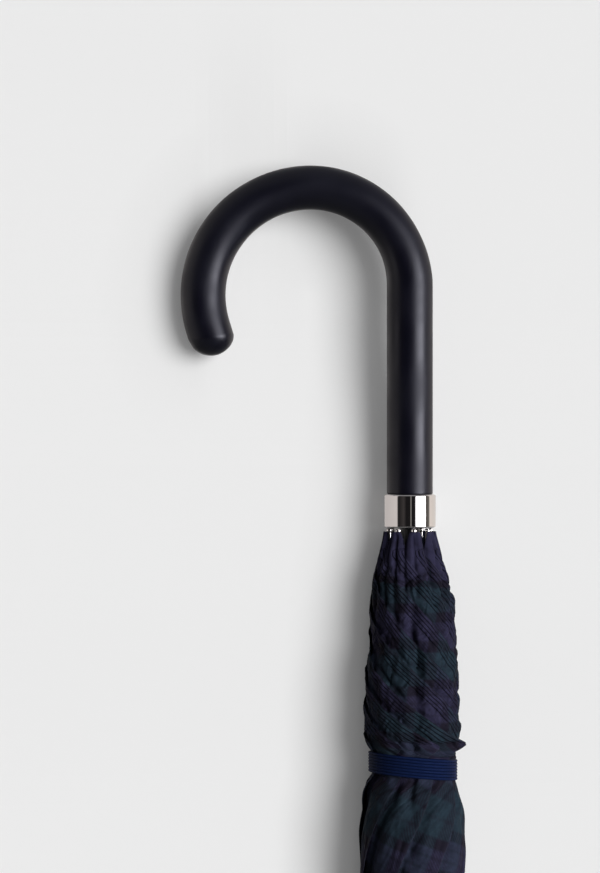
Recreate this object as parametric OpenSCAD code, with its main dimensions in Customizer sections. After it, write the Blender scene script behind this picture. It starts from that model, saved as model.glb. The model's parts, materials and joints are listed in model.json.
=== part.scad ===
// Stick umbrella, closed and strapped: crook handle, tube shaft, eight folding ribs, wrapped canopy.
// Millimetres. +Z runs along the shaft towards the handle, the hook opens to -X.
// The origin is on the shaft's axis, half way up the straight grip.

/* [Handle] */
// Thickness of the round handle stock
grip_d = 23.5; // [20:0.5:24.5]
// Straight length of the grip, collar to bend
grip_l = 104; // [80:1:140]
// Straight length between the grip and the bend
bend_rise = 2; // [0:0.5:10]
// Bend radius of the first quarter turn, at the middle of the stock
crook_r = 50.6; // [40:0.2:65]
// Bend radius of the rest of the turn
crook_far_r = 55; // [40:0.1:65]
// Turn of the bend past a half circle, degrees
crook_past = 17; // [5:1:30]
// Straight nose that follows the bend
nose_l = 3; // [1:0.5:12]
// Lean of the rounded end towards the inside of the hook
dome_lean = 0.65; // [0:0.05:1.5]
// Depth of the shaft's socket in the handle
socket_l = 60; // [30:1:75]

/* [Collar] */
// Outside diameter of the metal collar
collar_d = 26.6; // [25:0.1:30]
// Length of the collar
collar_h = 17; // [12:0.5:25]
// Wall of the collar
collar_wall = 1.8; // [1:0.1:2.2]
// Bevel on the collar's outer edges
collar_bevel = 0.7; // [0.3:0.1:0.9]
// Length of the handle's spigot inside the collar
spigot_l = 7; // [4:0.5:8]
// Depth of the recess over the rib tips
recess_l = 5; // [1:0.5:6]

/* [Shaft] */
// Outside diameter of the shaft tube
shaft_d = 10; // [9:0.1:10]
// Wall of the shaft tube
shaft_wall = 0.8; // [0.5:0.1:1.2]
// Radius of the cross pins in the shaft
pin_r = 0.9; // [0.6:0.05:1]

/* [Ribs] */
// Rib length from crown hinge to tip
rib_l = 600; // [570:5:700]
// Crown hinge to stretcher hinge, also the stretcher's length
joint_l = 265; // [255:1:270]
// Opening angle of a rib, degrees
open_angle = 65; // [50:1:70]
// Radius of the hinge circles about the shaft
pivot_r = 8; // [7.9:0.05:8.1]
// Turn of the rib ring about the shaft, degrees
rib_phase = 10; // [0:1:22]
// Width of the rib channel
rib_w = 3; // [2.6:0.1:3.4]
// Depth of the rib channel
rib_h = 2.2; // [2:0.1:2.5]
// Sheet thickness of ribs and stretchers
sheet = 0.5; // [0.4:0.05:0.55]
// Width of the stretcher channel
stretcher_w = 2.6; // [2.5:0.05:2.8]
// Depth of the stretcher channel
stretcher_h = 2; // [1.8:0.1:2.1]
// Thickness of the flattened hinge tongues
tongue_t = 1.4; // [1:0.1:1.45]
// Radius of the round eye on a tongue
eye_r = 1.25; // [1.15:0.05:1.3]
// Radius of hinge wires and rivets
wire_r = 0.45; // [0.35:0.05:0.5]
// Length of the metal rib tip
tip_l = 18; // [12:0.5:24]
// Radius of the visible tip rod
tip_r = 1.15; // [1.1:0.05:1.3]

/* [Runner and crown] */
// Height of the notched crown
crown_h = 10; // [8:0.5:14]
// Height of the notched runner head
head_h = 8; // [6:0.5:10]
// Runner length from its hinge circle to the handle end
runner_l = 28; // [20:0.5:34]
// Wall of the runner sleeve
runner_wall = 1.7; // [1.2:0.1:2.2]
// Width of the thumb band on the runner
band_w = 5; // [3:0.5:8]
// Reach of the catch nose beyond the shaft
catch_out = 1.5; // [0.8:0.1:1.5]
// Length of the catch from pin to nose
catch_l = 30; // [20:1:40]

/* [Tip end] */
// Widest radius of the cap over the canopy's apex
cap_r = 12.5; // [10:0.1:14]
// Height of the cap
cap_h = 14; // [8:0.5:20]
// Length of the ferrule below the cap
ferrule_l = 62; // [50:1:90]
// Radius of the ferrule's straight end
ferrule_r = 4.2; // [3.6:0.1:5]
// Length of the ferrule's straight end
ferrule_straight = 26; // [16:0.5:34]
// Length of the nylon foot in the ferrule
foot_l = 6; // [4:0.5:9]

/* [Canopy] */
// Outer radius of the wrapped cloth at its hem
wrap_hem_r = 13.9; // [13.6:0.1:16]
// Outer radius of the wrapped cloth above the strap
wrap_top_r = 25; // [23:0.1:30]
// Outer radius of the wrapped cloth under the strap
wrap_waist_r = 22.2; // [19:0.1:22.5]
// Outer radius of the wrapped cloth at its fullest
wrap_belly_r = 28.4; // [25:0.1:34]
// Outer radius of the wrapped cloth at the apex
wrap_apex_r = 15; // [14.6:0.1:18]
// Turn of the folds from apex to strap, degrees
twist_low = 150; // [60:5:200]
// Turn of the folds back from strap to hem, degrees
twist_high = 255; // [120:5:280]
// Air between neighbouring folds
fold_gap = 0.3; // [0.2:0.05:0.32]
// Bare length of rib tip left between collar and hem
hem_drop = 2.8; // [1:0.2:8]

/* [Strap] */
// Distance of the strap from the crown hinge, as a share of the rib
strap_share = 0.798; // [0.74:0.002:0.84]
// Width of the elastic strap
strap_w = 11.4; // [8:0.2:14]
// Thickness of the elastic strap
strap_t = 1.1; // [0.8:0.1:1.6]
// Tilt of the strap on the bundle, degrees
strap_tilt = 4.8; // [0:0.2:6]

/* [Clearances] */
// Radial fit of pieces fixed on the shaft or in the handle
fixed_fit = 0.05; // [0.02:0.01:0.08]
// Radial fit of the sliding runner on the shaft
slide_fit = 0.08; // [0.05:0.01:0.1]
// Radial fit of eyes on wires and pins
eye_fit = 0.1; // [0.07:0.01:0.12]
// Side gap of a tongue in its slot
slot_gap = 0.2; // [0.15:0.01:0.3]
// Air between neighbouring bodies
air = 0.3; // [0.2:0.02:0.34]

/* [Hidden] */
$fn = 64;
rib_count = 8;
rib_step = 360 / rib_count;
shaft_r = shaft_d / 2;
grip_r = grip_d / 2;
collar_r = collar_d / 2;
z_bend = grip_l / 2 + bend_rise;
z_far = z_bend + crook_r - crook_far_r;
z_shoulder = -grip_l / 2;
z_collar = z_shoulder - collar_h;
tip_air = 0.4;
z_tip = z_collar - tip_air;
// the shaft takes the ribs or, where it is longer, the closed runner below the collar
fold_l = max(rib_l, 2 * joint_l + runner_l + tip_air);
z_crown = z_tip - fold_l;
z_joint = z_crown + joint_l;
z_runner = z_crown + 2 * joint_l;
z_open = z_crown + 2 * joint_l * cos(open_angle);
eye_hole = wire_r + eye_fit;
slot_w = tongue_t + 2 * slot_gap;
slot_floor = pivot_r - eye_r - air - 0.1;
groove = wire_r + air;
// radii of the folded frame, from the shaft outwards
str_in = pivot_r - stretcher_h / 2;
rib_in = pivot_r + eye_r + air + 0.05;
rib_out = rib_in + rib_h;
rib_mid = rib_in + rib_h / 2;
clip_t = 0.55;
clip_air = 0.05;
clip_out = rib_out + clip_air + clip_t;
clip_half = rib_w / 2 + clip_air + clip_t;
clip_l = 9;
clip_in = pivot_r - eye_r;
head_r = rib_in - air - 0.05;
crown_r = rib_in + 0.9;
crown_low = crown_h / 2 + 0.5;
washer_t = 0.8;
z_cap = z_crown - crown_low - washer_t - 0.1;
cap_low_r = shaft_r + 1.7;
z_ferrule = z_cap - cap_h;
z_foot = z_ferrule - ferrule_l;
shaft_top = z_shoulder + socket_l;
ferrule_grip = 20;
shaft_end = z_ferrule - ferrule_grip;
// the catch sits just past the open runner's end
z_nose = z_open + runner_l + tip_air;
catch_w = 2.6;
catch_turn = rib_phase + rib_step / 2;
catch_lever_r = shaft_r - shaft_wall - 2;
catch_pin_z = z_nose - catch_l;
nose_len = 6;
tongue_l = 18;
tongue_neck = 7;
tongue_reach = 16;
hem_taper = 16;
waist_run = 12;
// wrapped cloth
panel_s0 = 2;
panel_s1 = fold_l - hem_drop - tip_air;
strap_s = strap_share * fold_l;
strap_half = strap_w / 2 + 3;
waist_in = strap_s - strap_half;
waist_out = strap_s + strap_half;
top_len = panel_s1 - waist_out;
wrap_core = max(clip_out, sqrt(clip_out * clip_out + clip_half * clip_half)) + 0.6;
wrap_span = 3 * rib_step;
wrap_cols = 6;
hem_core = rib_mid + tip_r + 0.5;
strap_r = wrap_waist_r + air + 0.1;

NODES = concat(
  ["handle", "collar", "shaft", "crown", "crown_wire", "crown_pin", "apex_washer", "apex_cap",
   "ferrule", "ferrule_foot", "stop_pin", "catch_pin", "top_catch", "runner", "runner_wire",
   "runner_band"],
  [for (i = [1:rib_count]) str("rib_", i)],
  [for (i = [1:rib_count]) str("rib_joint_", i)],
  [for (i = [1:rib_count]) str("rib_tip_", i)],
  [for (i = [1:rib_count]) str("stretcher_", i)],
  [for (i = [1:rib_count]) str("canopy_panel_", i)],
  ["tie_strap"]);
node = "all";

function shown(n) = node == "all" || node == n;

// Turns and lifts a child to rib number i's place about the shaft.
module at_rib(i) {
  rotate([0, 0, rib_phase + (i - 1) * rib_step])
    children();
}

// Stands a flat radius-height outline up in the plane through the shaft, t thick.
module radial_plate(t) {
  rotate([90, 0, 0])
    linear_extrude(height = t, center = true)
      children();
}

// Round bar through the shaft along X, both ends equal.
module cross_bar(r, half) {
  rotate([0, 90, 0])
    cylinder(r = r, h = 2 * half, center = true);
}

module tube(r_out, r_in, z0, z1) {
  translate([0, 0, z0])
    difference() {
      cylinder(r = r_out, h = z1 - z0);
      translate([0, 0, -1])
        cylinder(r = r_in, h = z1 - z0 + 2);
    }
}

// Dome profile as points on a quarter ellipse, closed by a tiny flat.
function dome_points(r, h, n) = concat(
  [for (k = [0:n - 1]) [r * cos(90 * k / n), h * sin(90 * k / n)]],
  [[0, h * sin(90 * (n - 1) / n)]]);

// Free end of the hook: a short straight nose rounded by a ball that leans to the hook's inside.
module nose(r) {
  ball_r = r + dome_lean + 0.05;
  translate([0, 0, -1.5])
    cylinder(r = r, h = nose_l + 1.5);
  intersection() {
    translate([0, 0, nose_l - 0.5])
      cylinder(r = r, h = ball_r + 1);
    translate([-dome_lean, 0, nose_l])
      sphere(r = ball_r);
  }
}

module handle() {
  end = 180 + crook_past;
  color([0.09, 0.09, 0.11])
    difference() {
      union() {
        translate([0, 0, z_shoulder])
          cylinder(r = grip_r, h = z_bend - z_shoulder);
        translate([0, 0, z_shoulder - spigot_l])
          cylinder(r = collar_r - collar_wall - fixed_fit, h = spigot_l + 0.5);
        translate([-crook_r, 0, z_bend])
          rotate([90, 0, 0])
            rotate_extrude(angle = 90)
              translate([crook_r, 0])
                circle(r = grip_r);
        translate([-crook_r, 0, z_far])
          rotate([90, 0, 0])
            rotate([0, 0, 90])
              rotate_extrude(angle = end - 90)
                translate([crook_far_r, 0])
                  circle(r = grip_r);
        translate([-crook_r, 0, z_far])
          rotate([0, -end, 0])
            translate([crook_far_r, 0, 0])
              nose(grip_r - 0.04);
      }
      translate([0, 0, z_shoulder - spigot_l - 1])
        cylinder(r = shaft_r + fixed_fit, h = socket_l + spigot_l + 1.3);
    }
}

module collar() {
  web_top = z_shoulder - spigot_l - 0.15;
  web_low = z_collar + recess_l;
  color([0.75, 0.75, 0.78])
    rotate_extrude()
      polygon([
        [shaft_r + fixed_fit, web_low],
        [collar_r - collar_wall, web_low],
        [collar_r - collar_wall, z_collar],
        [collar_r - collar_bevel, z_collar],
        [collar_r, z_collar + collar_bevel],
        [collar_r, z_shoulder - 0.05 - collar_bevel],
        [collar_r - collar_bevel, z_shoulder - 0.05],
        [collar_r - collar_wall, z_shoulder - 0.05],
        [collar_r - collar_wall, web_top],
        [shaft_r + fixed_fit, web_top]
      ]);
}

module shaft() {
  color([0.16, 0.16, 0.18])
    difference() {
      tube(shaft_r, shaft_r - shaft_wall, shaft_end, shaft_top);
      translate([0, 0, z_crown - crown_low + 1.8])
        rotate([0, 0, catch_turn])
          cross_bar(pin_r + fixed_fit, shaft_r + 1);
      translate([0, 0, z_open - head_h / 2 - tip_air - pin_r])
        rotate([0, 0, catch_turn])
          cross_bar(pin_r + fixed_fit, shaft_r + 1);
      rotate([0, 0, catch_turn])
        translate([catch_lever_r, 0, catch_pin_z])
          rotate([90, 0, 0])
            cylinder(r = pin_r + fixed_fit, h = 3 * shaft_r, center = true);
      rotate([0, 0, catch_turn])
        translate([0, -catch_w / 2 - air, z_nose - 0.5])
          cube([2 * shaft_r, catch_w + 2 * air, nose_len + 1]);
    }
}

// Eight radial slots for hinge tongues, and the groove that holds the hinge wire.
module hinge_cuts(z0, r_out, height) {
  for (i = [1:rib_count])
    at_rib(i)
      translate([slot_floor, -slot_w / 2, z0 - height])
        cube([r_out, slot_w, 2 * height]);
  translate([0, 0, z0 - groove])
    difference() {
      cylinder(r = r_out + 2, h = 2 * groove);
      translate([0, 0, -1])
        cylinder(r = pivot_r - groove, h = 2 * groove + 2);
    }
}

module crown() {
  color([0.12, 0.12, 0.13])
    difference() {
      tube(crown_r, shaft_r + fixed_fit, z_crown - crown_low, z_crown + crown_h / 2);
      hinge_cuts(z_crown, crown_r, crown_h);
      translate([0, 0, z_crown - crown_low + 1.8])
        rotate([0, 0, catch_turn])
          cross_bar(pin_r + fixed_fit, crown_r + 1);
    }
}

module hinge_ring(z0) {
  color([0.7, 0.7, 0.72])
    translate([0, 0, z0])
      rotate_extrude()
        translate([pivot_r, 0])
          circle(r = wire_r);
}

module crown_wire() {
  hinge_ring(z_crown);
}

module runner_wire() {
  hinge_ring(z_runner);
}

module crown_pin() {
  color([0.7, 0.7, 0.72])
    translate([0, 0, z_crown - crown_low + 1.8])
      rotate([0, 0, catch_turn])
        cross_bar(pin_r, crown_r - 0.5);
}

module stop_pin() {
  color([0.7, 0.7, 0.72])
    translate([0, 0, z_open - head_h / 2 - tip_air - pin_r])
      rotate([0, 0, catch_turn])
        cross_bar(pin_r, shaft_r + catch_out);
}

module apex_washer() {
  color([0.1, 0.1, 0.14])
    tube(crown_r + 0.6, shaft_r + fixed_fit, z_cap + 0.05, z_cap + 0.05 + washer_t);
}

module apex_cap() {
  color([0.6, 0.6, 0.63])
    rotate_extrude()
      polygon(concat(
        [[shaft_r + fixed_fit, z_cap - cap_h], [cap_low_r, z_cap - cap_h]],
        [for (k = [0:10])
          [cap_low_r + (cap_r - cap_low_r) * (1 - cos(9 * k)), z_cap - cap_h + 1 + (cap_h - 2) * k / 10]],
        [[cap_r, z_cap - 0.4], [cap_r - 0.4, z_cap], [shaft_r + fixed_fit, z_cap]]));
}

module ferrule() {
  top_r = shaft_r + 1.3;
  taper = z_foot + ferrule_straight;
  color([0.72, 0.72, 0.75])
    difference() {
      union() {
        translate([0, 0, z_foot])
          cylinder(r = ferrule_r, h = ferrule_straight + 0.1);
        translate([0, 0, taper])
          cylinder(r1 = ferrule_r, r2 = top_r, h = z_ferrule - 0.1 - taper);
      }
      translate([0, 0, shaft_end - 0.1])
        cylinder(r = shaft_r + fixed_fit, h = ferrule_grip + 1);
      translate([0, 0, z_foot - 1])
        cylinder(r = ferrule_r - 1.2 + fixed_fit, h = foot_l + 1);
    }
}

module ferrule_foot() {
  color([0.08, 0.08, 0.08])
    union() {
      translate([0, 0, z_foot - 2.05])
        cylinder(r = ferrule_r - 0.2, h = 2);
      translate([0, 0, z_foot - 2])
        cylinder(r = ferrule_r - 1.2, h = foot_l + 1.7);
      translate([0, 0, z_foot - 2.04])
        mirror([0, 0, 1])
          rotate_extrude()
            polygon(concat([[0, 0]], dome_points(ferrule_r - 0.2, 2, 10)));
    }
}

module catch_pin() {
  far = catch_lever_r + pin_r;
  color([0.7, 0.7, 0.72])
    rotate([0, 0, catch_turn])
      translate([catch_lever_r, 0, catch_pin_z])
        rotate([90, 0, 0])
          cylinder(r = pin_r, h = 2 * sqrt(shaft_r * shaft_r - far * far) - 0.1, center = true);
}

// Leaf catch inside the tube: square edge towards the tip, ramp towards the handle.
module top_catch() {
  reach = shaft_r + catch_out;
  lever = catch_lever_r + 0.8;
  color([0.7, 0.7, 0.72])
    rotate([0, 0, catch_turn])
      radial_plate(catch_w)
        difference() {
          union() {
            polygon([
              [catch_lever_r - 0.8, catch_pin_z],
              [lever, catch_pin_z],
              [lever, z_nose],
              [reach, z_nose],
              [reach, z_nose + 1.4],
              [lever, z_nose + nose_len],
              [catch_lever_r - 0.8, z_nose + nose_len]
            ]);
            translate([catch_lever_r, catch_pin_z])
              circle(r = pin_r + 0.7);
          }
          translate([catch_lever_r, catch_pin_z])
            circle(r = pin_r + eye_fit);
        }
}

module runner() {
  z0 = z_runner - head_h / 2;
  bore = shaft_r + slide_fit;
  sleeve_r = bore + runner_wall;
  color([0.12, 0.12, 0.13])
    difference() {
      union() {
        difference() {
          translate([0, 0, z0])
            cylinder(r = head_r, h = head_h);
          hinge_cuts(z_runner, head_r, head_h);
        }
        translate([0, 0, z_runner + head_h / 2 - 0.5])
          cylinder(r = sleeve_r, h = runner_l - head_h / 2 + 0.5);
      }
      translate([0, 0, z0 - 1])
        cylinder(r = bore, h = runner_l + head_h + 2);
    }
}

module runner_band() {
  r0 = shaft_r + slide_fit + runner_wall + fixed_fit;
  z1 = z_runner + runner_l - 2;
  color([0.72, 0.72, 0.75])
    tube(r0 + 0.6, r0, z1 - band_w, z1);
}

// Folded channel along Z with its web on the outside, w wide, from r0 to r1.
module channel(w, r0, r1, z0, z1, web_out) {
  web = web_out ? r1 - sheet : r0;
  translate([0, 0, z0])
    linear_extrude(height = z1 - z0)
      union() {
        translate([web, -w / 2])
          square([sheet, w]);
        translate([r0, -w / 2])
          square([r1 - r0, sheet]);
        translate([r0, w / 2 - sheet])
          square([r1 - r0, sheet]);
      }
}

module rib(i) {
  z1 = z_tip - tip_l - air;
  color([0.55, 0.55, 0.58])
    at_rib(i)
      difference() {
        union() {
          channel(rib_w, rib_in, rib_out, z_crown + 8, z1, true);
          radial_plate(tongue_t)
            difference() {
              union() {
                translate([pivot_r, z_crown])
                  circle(r = eye_r);
                polygon([
                  [pivot_r - eye_r, z_crown],
                  [pivot_r + eye_r * 0.7, z_crown - eye_r * 0.7],
                  [rib_out - 0.2, z_crown + 4],
                  [rib_out - 0.2, z_crown + tongue_l],
                  [rib_in + 0.3, z_crown + tongue_l],
                  [rib_in + 0.3, z_crown + 7]
                ]);
              }
              translate([pivot_r, z_crown])
                circle(r = eye_hole);
            }
          translate([rib_mid, 0, z1 - 6])
            cylinder(r = rib_h / 2 - sheet / 2, h = 6 + tip_l * 0.55);
        }
        translate([rib_in - 1, 0, z_joint - 2.5])
          rotate([0, 90, 0])
            cylinder(r = 0.6 + clip_air, h = rib_h + 2);
      }
}

// Pressed clip that wraps the rib and carries the stretcher's rivet.
module rib_joint(i) {
  color([0.7, 0.7, 0.72])
    at_rib(i)
      union() {
        translate([0, 0, z_joint - clip_l / 2])
          linear_extrude(height = clip_l)
            union() {
              translate([rib_out + clip_air, -clip_half])
                square([clip_t, 2 * clip_half]);
              translate([clip_in, -clip_half])
                square([clip_out - clip_in, clip_t]);
              translate([clip_in, clip_half - clip_t])
                square([clip_out - clip_in, clip_t]);
            }
        translate([pivot_r, 0, z_joint])
          rotate([90, 0, 0])
            cylinder(r = wire_r, h = 2 * clip_half - 0.2, center = true);
        translate([rib_out - sheet, 0, z_joint - 2.5])
          rotate([0, 90, 0])
            cylinder(r = 0.6, h = sheet + clip_air + 0.2);
      }
}

module rib_tip(i) {
  bore = rib_h / 2 - sheet / 2 + fixed_fit;
  socket = bore + 0.5;
  color([0.78, 0.78, 0.8])
    at_rib(i)
      translate([rib_mid, 0, z_tip - tip_l])
        rotate_extrude()
          polygon([
            [bore, 0],
            [socket, 0],
            [socket, tip_l * 0.3],
            [tip_r, tip_l * 0.45],
            [tip_r, tip_l - 2.2],
            [tip_r + 0.25, tip_l - 1.5],
            [tip_r + 0.25, tip_l - 0.7],
            [tip_r - 0.3, tip_l],
            [0, tip_l],
            [0, tip_l * 0.6],
            [bore, tip_l * 0.6]
          ]);
}

module stretcher(i) {
  web = str_in + 0.2;
  top = str_in + stretcher_h - 0.3;
  color([0.55, 0.55, 0.58])
    at_rib(i)
      union() {
        channel(stretcher_w, str_in, str_in + stretcher_h, z_joint + 8, z_runner - 8, false);
        for (end = [0, 1])
          translate([0, 0, end == 0 ? z_joint : z_runner])
            mirror([0, 0, end])
              radial_plate(tongue_t)
                difference() {
                  union() {
                    circle_at(pivot_r, eye_r);
                    polygon([
                      [pivot_r - eye_r * 0.9, 0],
                      [pivot_r + eye_r * 0.9, 0],
                      [top, tongue_neck],
                      [top, tongue_reach],
                      [web, tongue_reach],
                      [web, tongue_neck]
                    ]);
                  }
                  circle_at(pivot_r, eye_hole);
                }
      }
}

module circle_at(x, r) {
  translate([x, 0])
    circle(r = r);
}

// Outer radius of the wrapped cloth at distance s from the crown hinge.
function wrap_out(s) = lookup(s, [
  [panel_s0, wrap_apex_r],
  [0.1 * fold_l, wrap_apex_r + 0.27 * (wrap_belly_r - wrap_apex_r)],
  [0.25 * fold_l, wrap_apex_r + 0.6 * (wrap_belly_r - wrap_apex_r)],
  [0.42 * fold_l, wrap_apex_r + 0.86 * (wrap_belly_r - wrap_apex_r)],
  [0.58 * fold_l, wrap_belly_r],
  [waist_in - 0.075 * fold_l, 0.96 * wrap_belly_r],
  [waist_in - 12, wrap_waist_r + 0.62 * (wrap_belly_r - wrap_waist_r)],
  [waist_in, wrap_waist_r],
  [waist_out, wrap_waist_r],
  [waist_out + 0.07 * top_len, wrap_top_r],
  [waist_out + 0.3 * top_len, wrap_top_r - 0.05 * (wrap_top_r - wrap_hem_r)],
  [waist_out + 0.56 * top_len, wrap_top_r - 0.22 * (wrap_top_r - wrap_hem_r)],
  [waist_out + 0.73 * top_len, wrap_top_r - 0.4 * (wrap_top_r - wrap_hem_r)],
  [waist_out + 0.87 * top_len, wrap_top_r - 0.63 * (wrap_top_r - wrap_hem_r)],
  [waist_out + 0.96 * top_len, wrap_top_r - 0.88 * (wrap_top_r - wrap_hem_r)],
  [panel_s1, wrap_hem_r]
]);

// Inner radius of the wrapped cloth, tighter at the hem.
function wrap_in(s) = lookup(s, [
  [panel_s0, wrap_core],
  [panel_s1 - hem_taper, wrap_core],
  [panel_s1, hem_core]
]);

// Turn of the folds at distance s: slow up to the strap, then fast back to the hem.
function wrap_turn(s) = s < strap_s
  ? twist_low * pow(s / strap_s, 2.4)
  : twist_low - twist_high * (s - strap_s) / (panel_s1 - strap_s);

// Distances from the crown hinge at which the cloth's outline is set.
wrap_levels = concat(
  [for (k = [0:12]) panel_s0 + (waist_in - waist_run - panel_s0) * k / 12],
  [waist_in, strap_s, waist_out],
  [for (k = [1:12]) waist_out + top_len * (1 - pow(1 - k / 12, 1.15))]);

// One folded panel: a blade that starts beside its rib and winds outwards over its neighbours.
module canopy_panel(i) {
  cols = wrap_cols;
  ring = 2 * (cols + 1);
  last = len(wrap_levels) - 1;
  start = rib_phase + (i - 1) * rib_step + slot_gap;
  points = [
    for (s = wrap_levels)
      let (inner = wrap_in(s), turns = wrap_span / rib_step)
      let (pitch = (wrap_out(s) - inner + fold_gap) / (turns + 1))
      for (k = [0:ring - 1])
        let (far = k > cols, c = far ? ring - 1 - k : k)
        let (r = inner + pitch * turns * c / cols + (far ? pitch - fold_gap : 0))
        let (a = start + wrap_turn(s) + wrap_span * c / cols)
        [r * cos(a), r * sin(a), z_crown + s]
  ];
  sides = [
    for (j = [0:last - 1], k = [0:ring - 1])
      let (n = (k + 1) % ring, b = j * ring, t = (j + 1) * ring)
      let (rising = wrap_levels[j] < strap_s, far = k > cols, lean = rising != far)
      for (f = lean ? [[b + k, t + k, b + n], [b + n, t + k, t + n]]
                    : [[b + k, t + k, t + n], [b + k, t + n, b + n]])
        f
  ];
  caps = [
    for (c = [0:cols - 1])
      let (q = [c, c + 1, ring - 2 - c, ring - 1 - c], t = last * ring)
      for (f = [[q[0], q[1], q[2]], [q[0], q[2], q[3]],
                [t + q[2], t + q[1], t + q[0]], [t + q[3], t + q[2], t + q[0]]])
        f
  ];
  color(i % 2 == 0 ? [0.13, 0.14, 0.22] : [0.12, 0.2, 0.2])
    polyhedron(points = points, faces = concat(sides, caps), convexity = 6);
}

// Ribbed elastic band about the bundle, lapped and sewn at the back.
module tie_strap() {
  ridges = 7;
  ridge = strap_w / ridges / 2;
  color([0.1, 0.14, 0.3])
    translate([0, 0, z_crown + strap_s])
      rotate([0, strap_tilt, 0])
        union() {
          rotate_extrude()
            union() {
              translate([strap_r, -strap_w / 2 + 0.3])
                square([strap_t - 0.3, strap_w - 0.6]);
              for (k = [0:ridges - 1])
                translate([strap_r + strap_t - ridge * 0.6, -strap_w / 2 + ridge * (2 * k + 1)])
                  circle(r = ridge * 0.6);
            }
          rotate([0, 0, 70])
            rotate_extrude(angle = 40)
              translate([strap_r + strap_t - 0.4, -strap_w / 2 + 0.4])
                square([1.2, strap_w - 0.8]);
        }
}

if (shown("handle")) handle();
if (shown("collar")) collar();
if (shown("shaft")) shaft();
if (shown("crown")) crown();
if (shown("crown_wire")) crown_wire();
if (shown("crown_pin")) crown_pin();
if (shown("apex_washer")) apex_washer();
if (shown("apex_cap")) apex_cap();
if (shown("ferrule")) ferrule();
if (shown("ferrule_foot")) ferrule_foot();
if (shown("stop_pin")) stop_pin();
if (shown("catch_pin")) catch_pin();
if (shown("top_catch")) top_catch();
if (shown("runner")) runner();
if (shown("runner_wire")) runner_wire();
if (shown("runner_band")) runner_band();
for (i = [1:rib_count]) {
  if (shown(str("rib_", i))) rib(i);
  if (shown(str("rib_joint_", i))) rib_joint(i);
  if (shown(str("rib_tip_", i))) rib_tip(i);
  if (shown(str("stretcher_", i))) stretcher(i);
  if (shown(str("canopy_panel_", i))) canopy_panel(i);
}
if (shown("tie_strap")) tie_strap();
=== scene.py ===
"""A closed stick umbrella: crook handle, polished collar, wrapped check canopy, strap and folding frame.

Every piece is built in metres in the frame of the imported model. A place along the folded ribs is given as
its distance s from the crown's hinge circle, and a place round the shaft as an angle from +X.
"""
import json
import logging
import math
from dataclasses import dataclass
from enum import Enum
from typing import Any, Sequence

import bmesh
import bpy
import numpy as np
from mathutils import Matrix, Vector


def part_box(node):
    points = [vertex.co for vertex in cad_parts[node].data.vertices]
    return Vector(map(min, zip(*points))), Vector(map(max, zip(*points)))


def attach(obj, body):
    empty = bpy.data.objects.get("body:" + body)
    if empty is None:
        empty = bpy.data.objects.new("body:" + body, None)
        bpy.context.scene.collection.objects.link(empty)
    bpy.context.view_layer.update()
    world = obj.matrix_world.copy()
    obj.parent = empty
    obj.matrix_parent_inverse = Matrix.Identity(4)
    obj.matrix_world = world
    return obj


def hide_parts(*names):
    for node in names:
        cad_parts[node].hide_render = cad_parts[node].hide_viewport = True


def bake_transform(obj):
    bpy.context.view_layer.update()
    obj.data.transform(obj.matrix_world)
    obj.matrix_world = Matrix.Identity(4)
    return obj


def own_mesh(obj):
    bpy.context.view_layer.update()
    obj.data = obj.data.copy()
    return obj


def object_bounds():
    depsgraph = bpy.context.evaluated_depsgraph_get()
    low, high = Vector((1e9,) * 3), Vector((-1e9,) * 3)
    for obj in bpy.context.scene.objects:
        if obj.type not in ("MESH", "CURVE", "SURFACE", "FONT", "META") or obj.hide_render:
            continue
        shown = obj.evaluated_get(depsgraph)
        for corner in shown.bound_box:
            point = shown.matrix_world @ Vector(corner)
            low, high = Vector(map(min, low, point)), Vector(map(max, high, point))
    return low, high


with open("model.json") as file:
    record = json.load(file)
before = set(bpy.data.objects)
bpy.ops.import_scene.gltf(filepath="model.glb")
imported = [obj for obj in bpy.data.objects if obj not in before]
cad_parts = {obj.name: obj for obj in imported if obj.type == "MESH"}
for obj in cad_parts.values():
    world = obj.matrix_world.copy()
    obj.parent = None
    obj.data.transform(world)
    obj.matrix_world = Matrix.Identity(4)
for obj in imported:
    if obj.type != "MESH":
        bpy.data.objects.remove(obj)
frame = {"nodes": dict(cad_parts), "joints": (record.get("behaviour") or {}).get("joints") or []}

CAD_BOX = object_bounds()
LOG = logging.getLogger("umbrella")
MM = 0.001
RIB_COUNT = 8
FULL_TURN = 2 * math.pi
RIB_STEP = FULL_TURN / RIB_COUNT
STRAP_S = 478.8 * MM
CHECK = 40 * MM
Colour = tuple[float, float, float]
Knots = tuple[tuple[float, float], ...]


class Slot(Enum):
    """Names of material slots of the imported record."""

    HANDLE = "handle_black"
    CHROME = "chrome"
    CLOTH = "cloth"
    STRAP = "strap"


class Body(Enum):
    """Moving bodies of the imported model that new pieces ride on."""

    STICK = "stick"
    STRAP_RIB = "rib_arm_3"


def smoothstep(low: float, high: float, value: np.ndarray) -> np.ndarray:
    """Soft step from 0 at low to 1 at high.

    Args:
        low: Value at which the step starts.
        high: Value at which the step ends.
        value: Where it is wanted.

    Returns:
        3 t^2 - 2 t^3 of the clipped share t between low and high.
    """
    share = np.clip((value - low) / (high - low), 0.0, 1.0)
    return share * share * (3.0 - 2.0 * share)


def bell(value: np.ndarray, power: int = 2) -> np.ndarray:
    """Bump of height 1 at 0 that is gone by about 2: e to the power of minus an even power of the value."""
    return np.exp(-(value ** power))


def wrapped(angle: np.ndarray | float) -> np.ndarray | float:
    """Angles brought between minus and plus half a turn."""
    return (angle + math.pi) % FULL_TURN - math.pi


def ring_angles(sides: int) -> np.ndarray:
    """Angles of the points of a ring with so many sides."""
    return np.arange(sides) * FULL_TURN / sides


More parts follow.
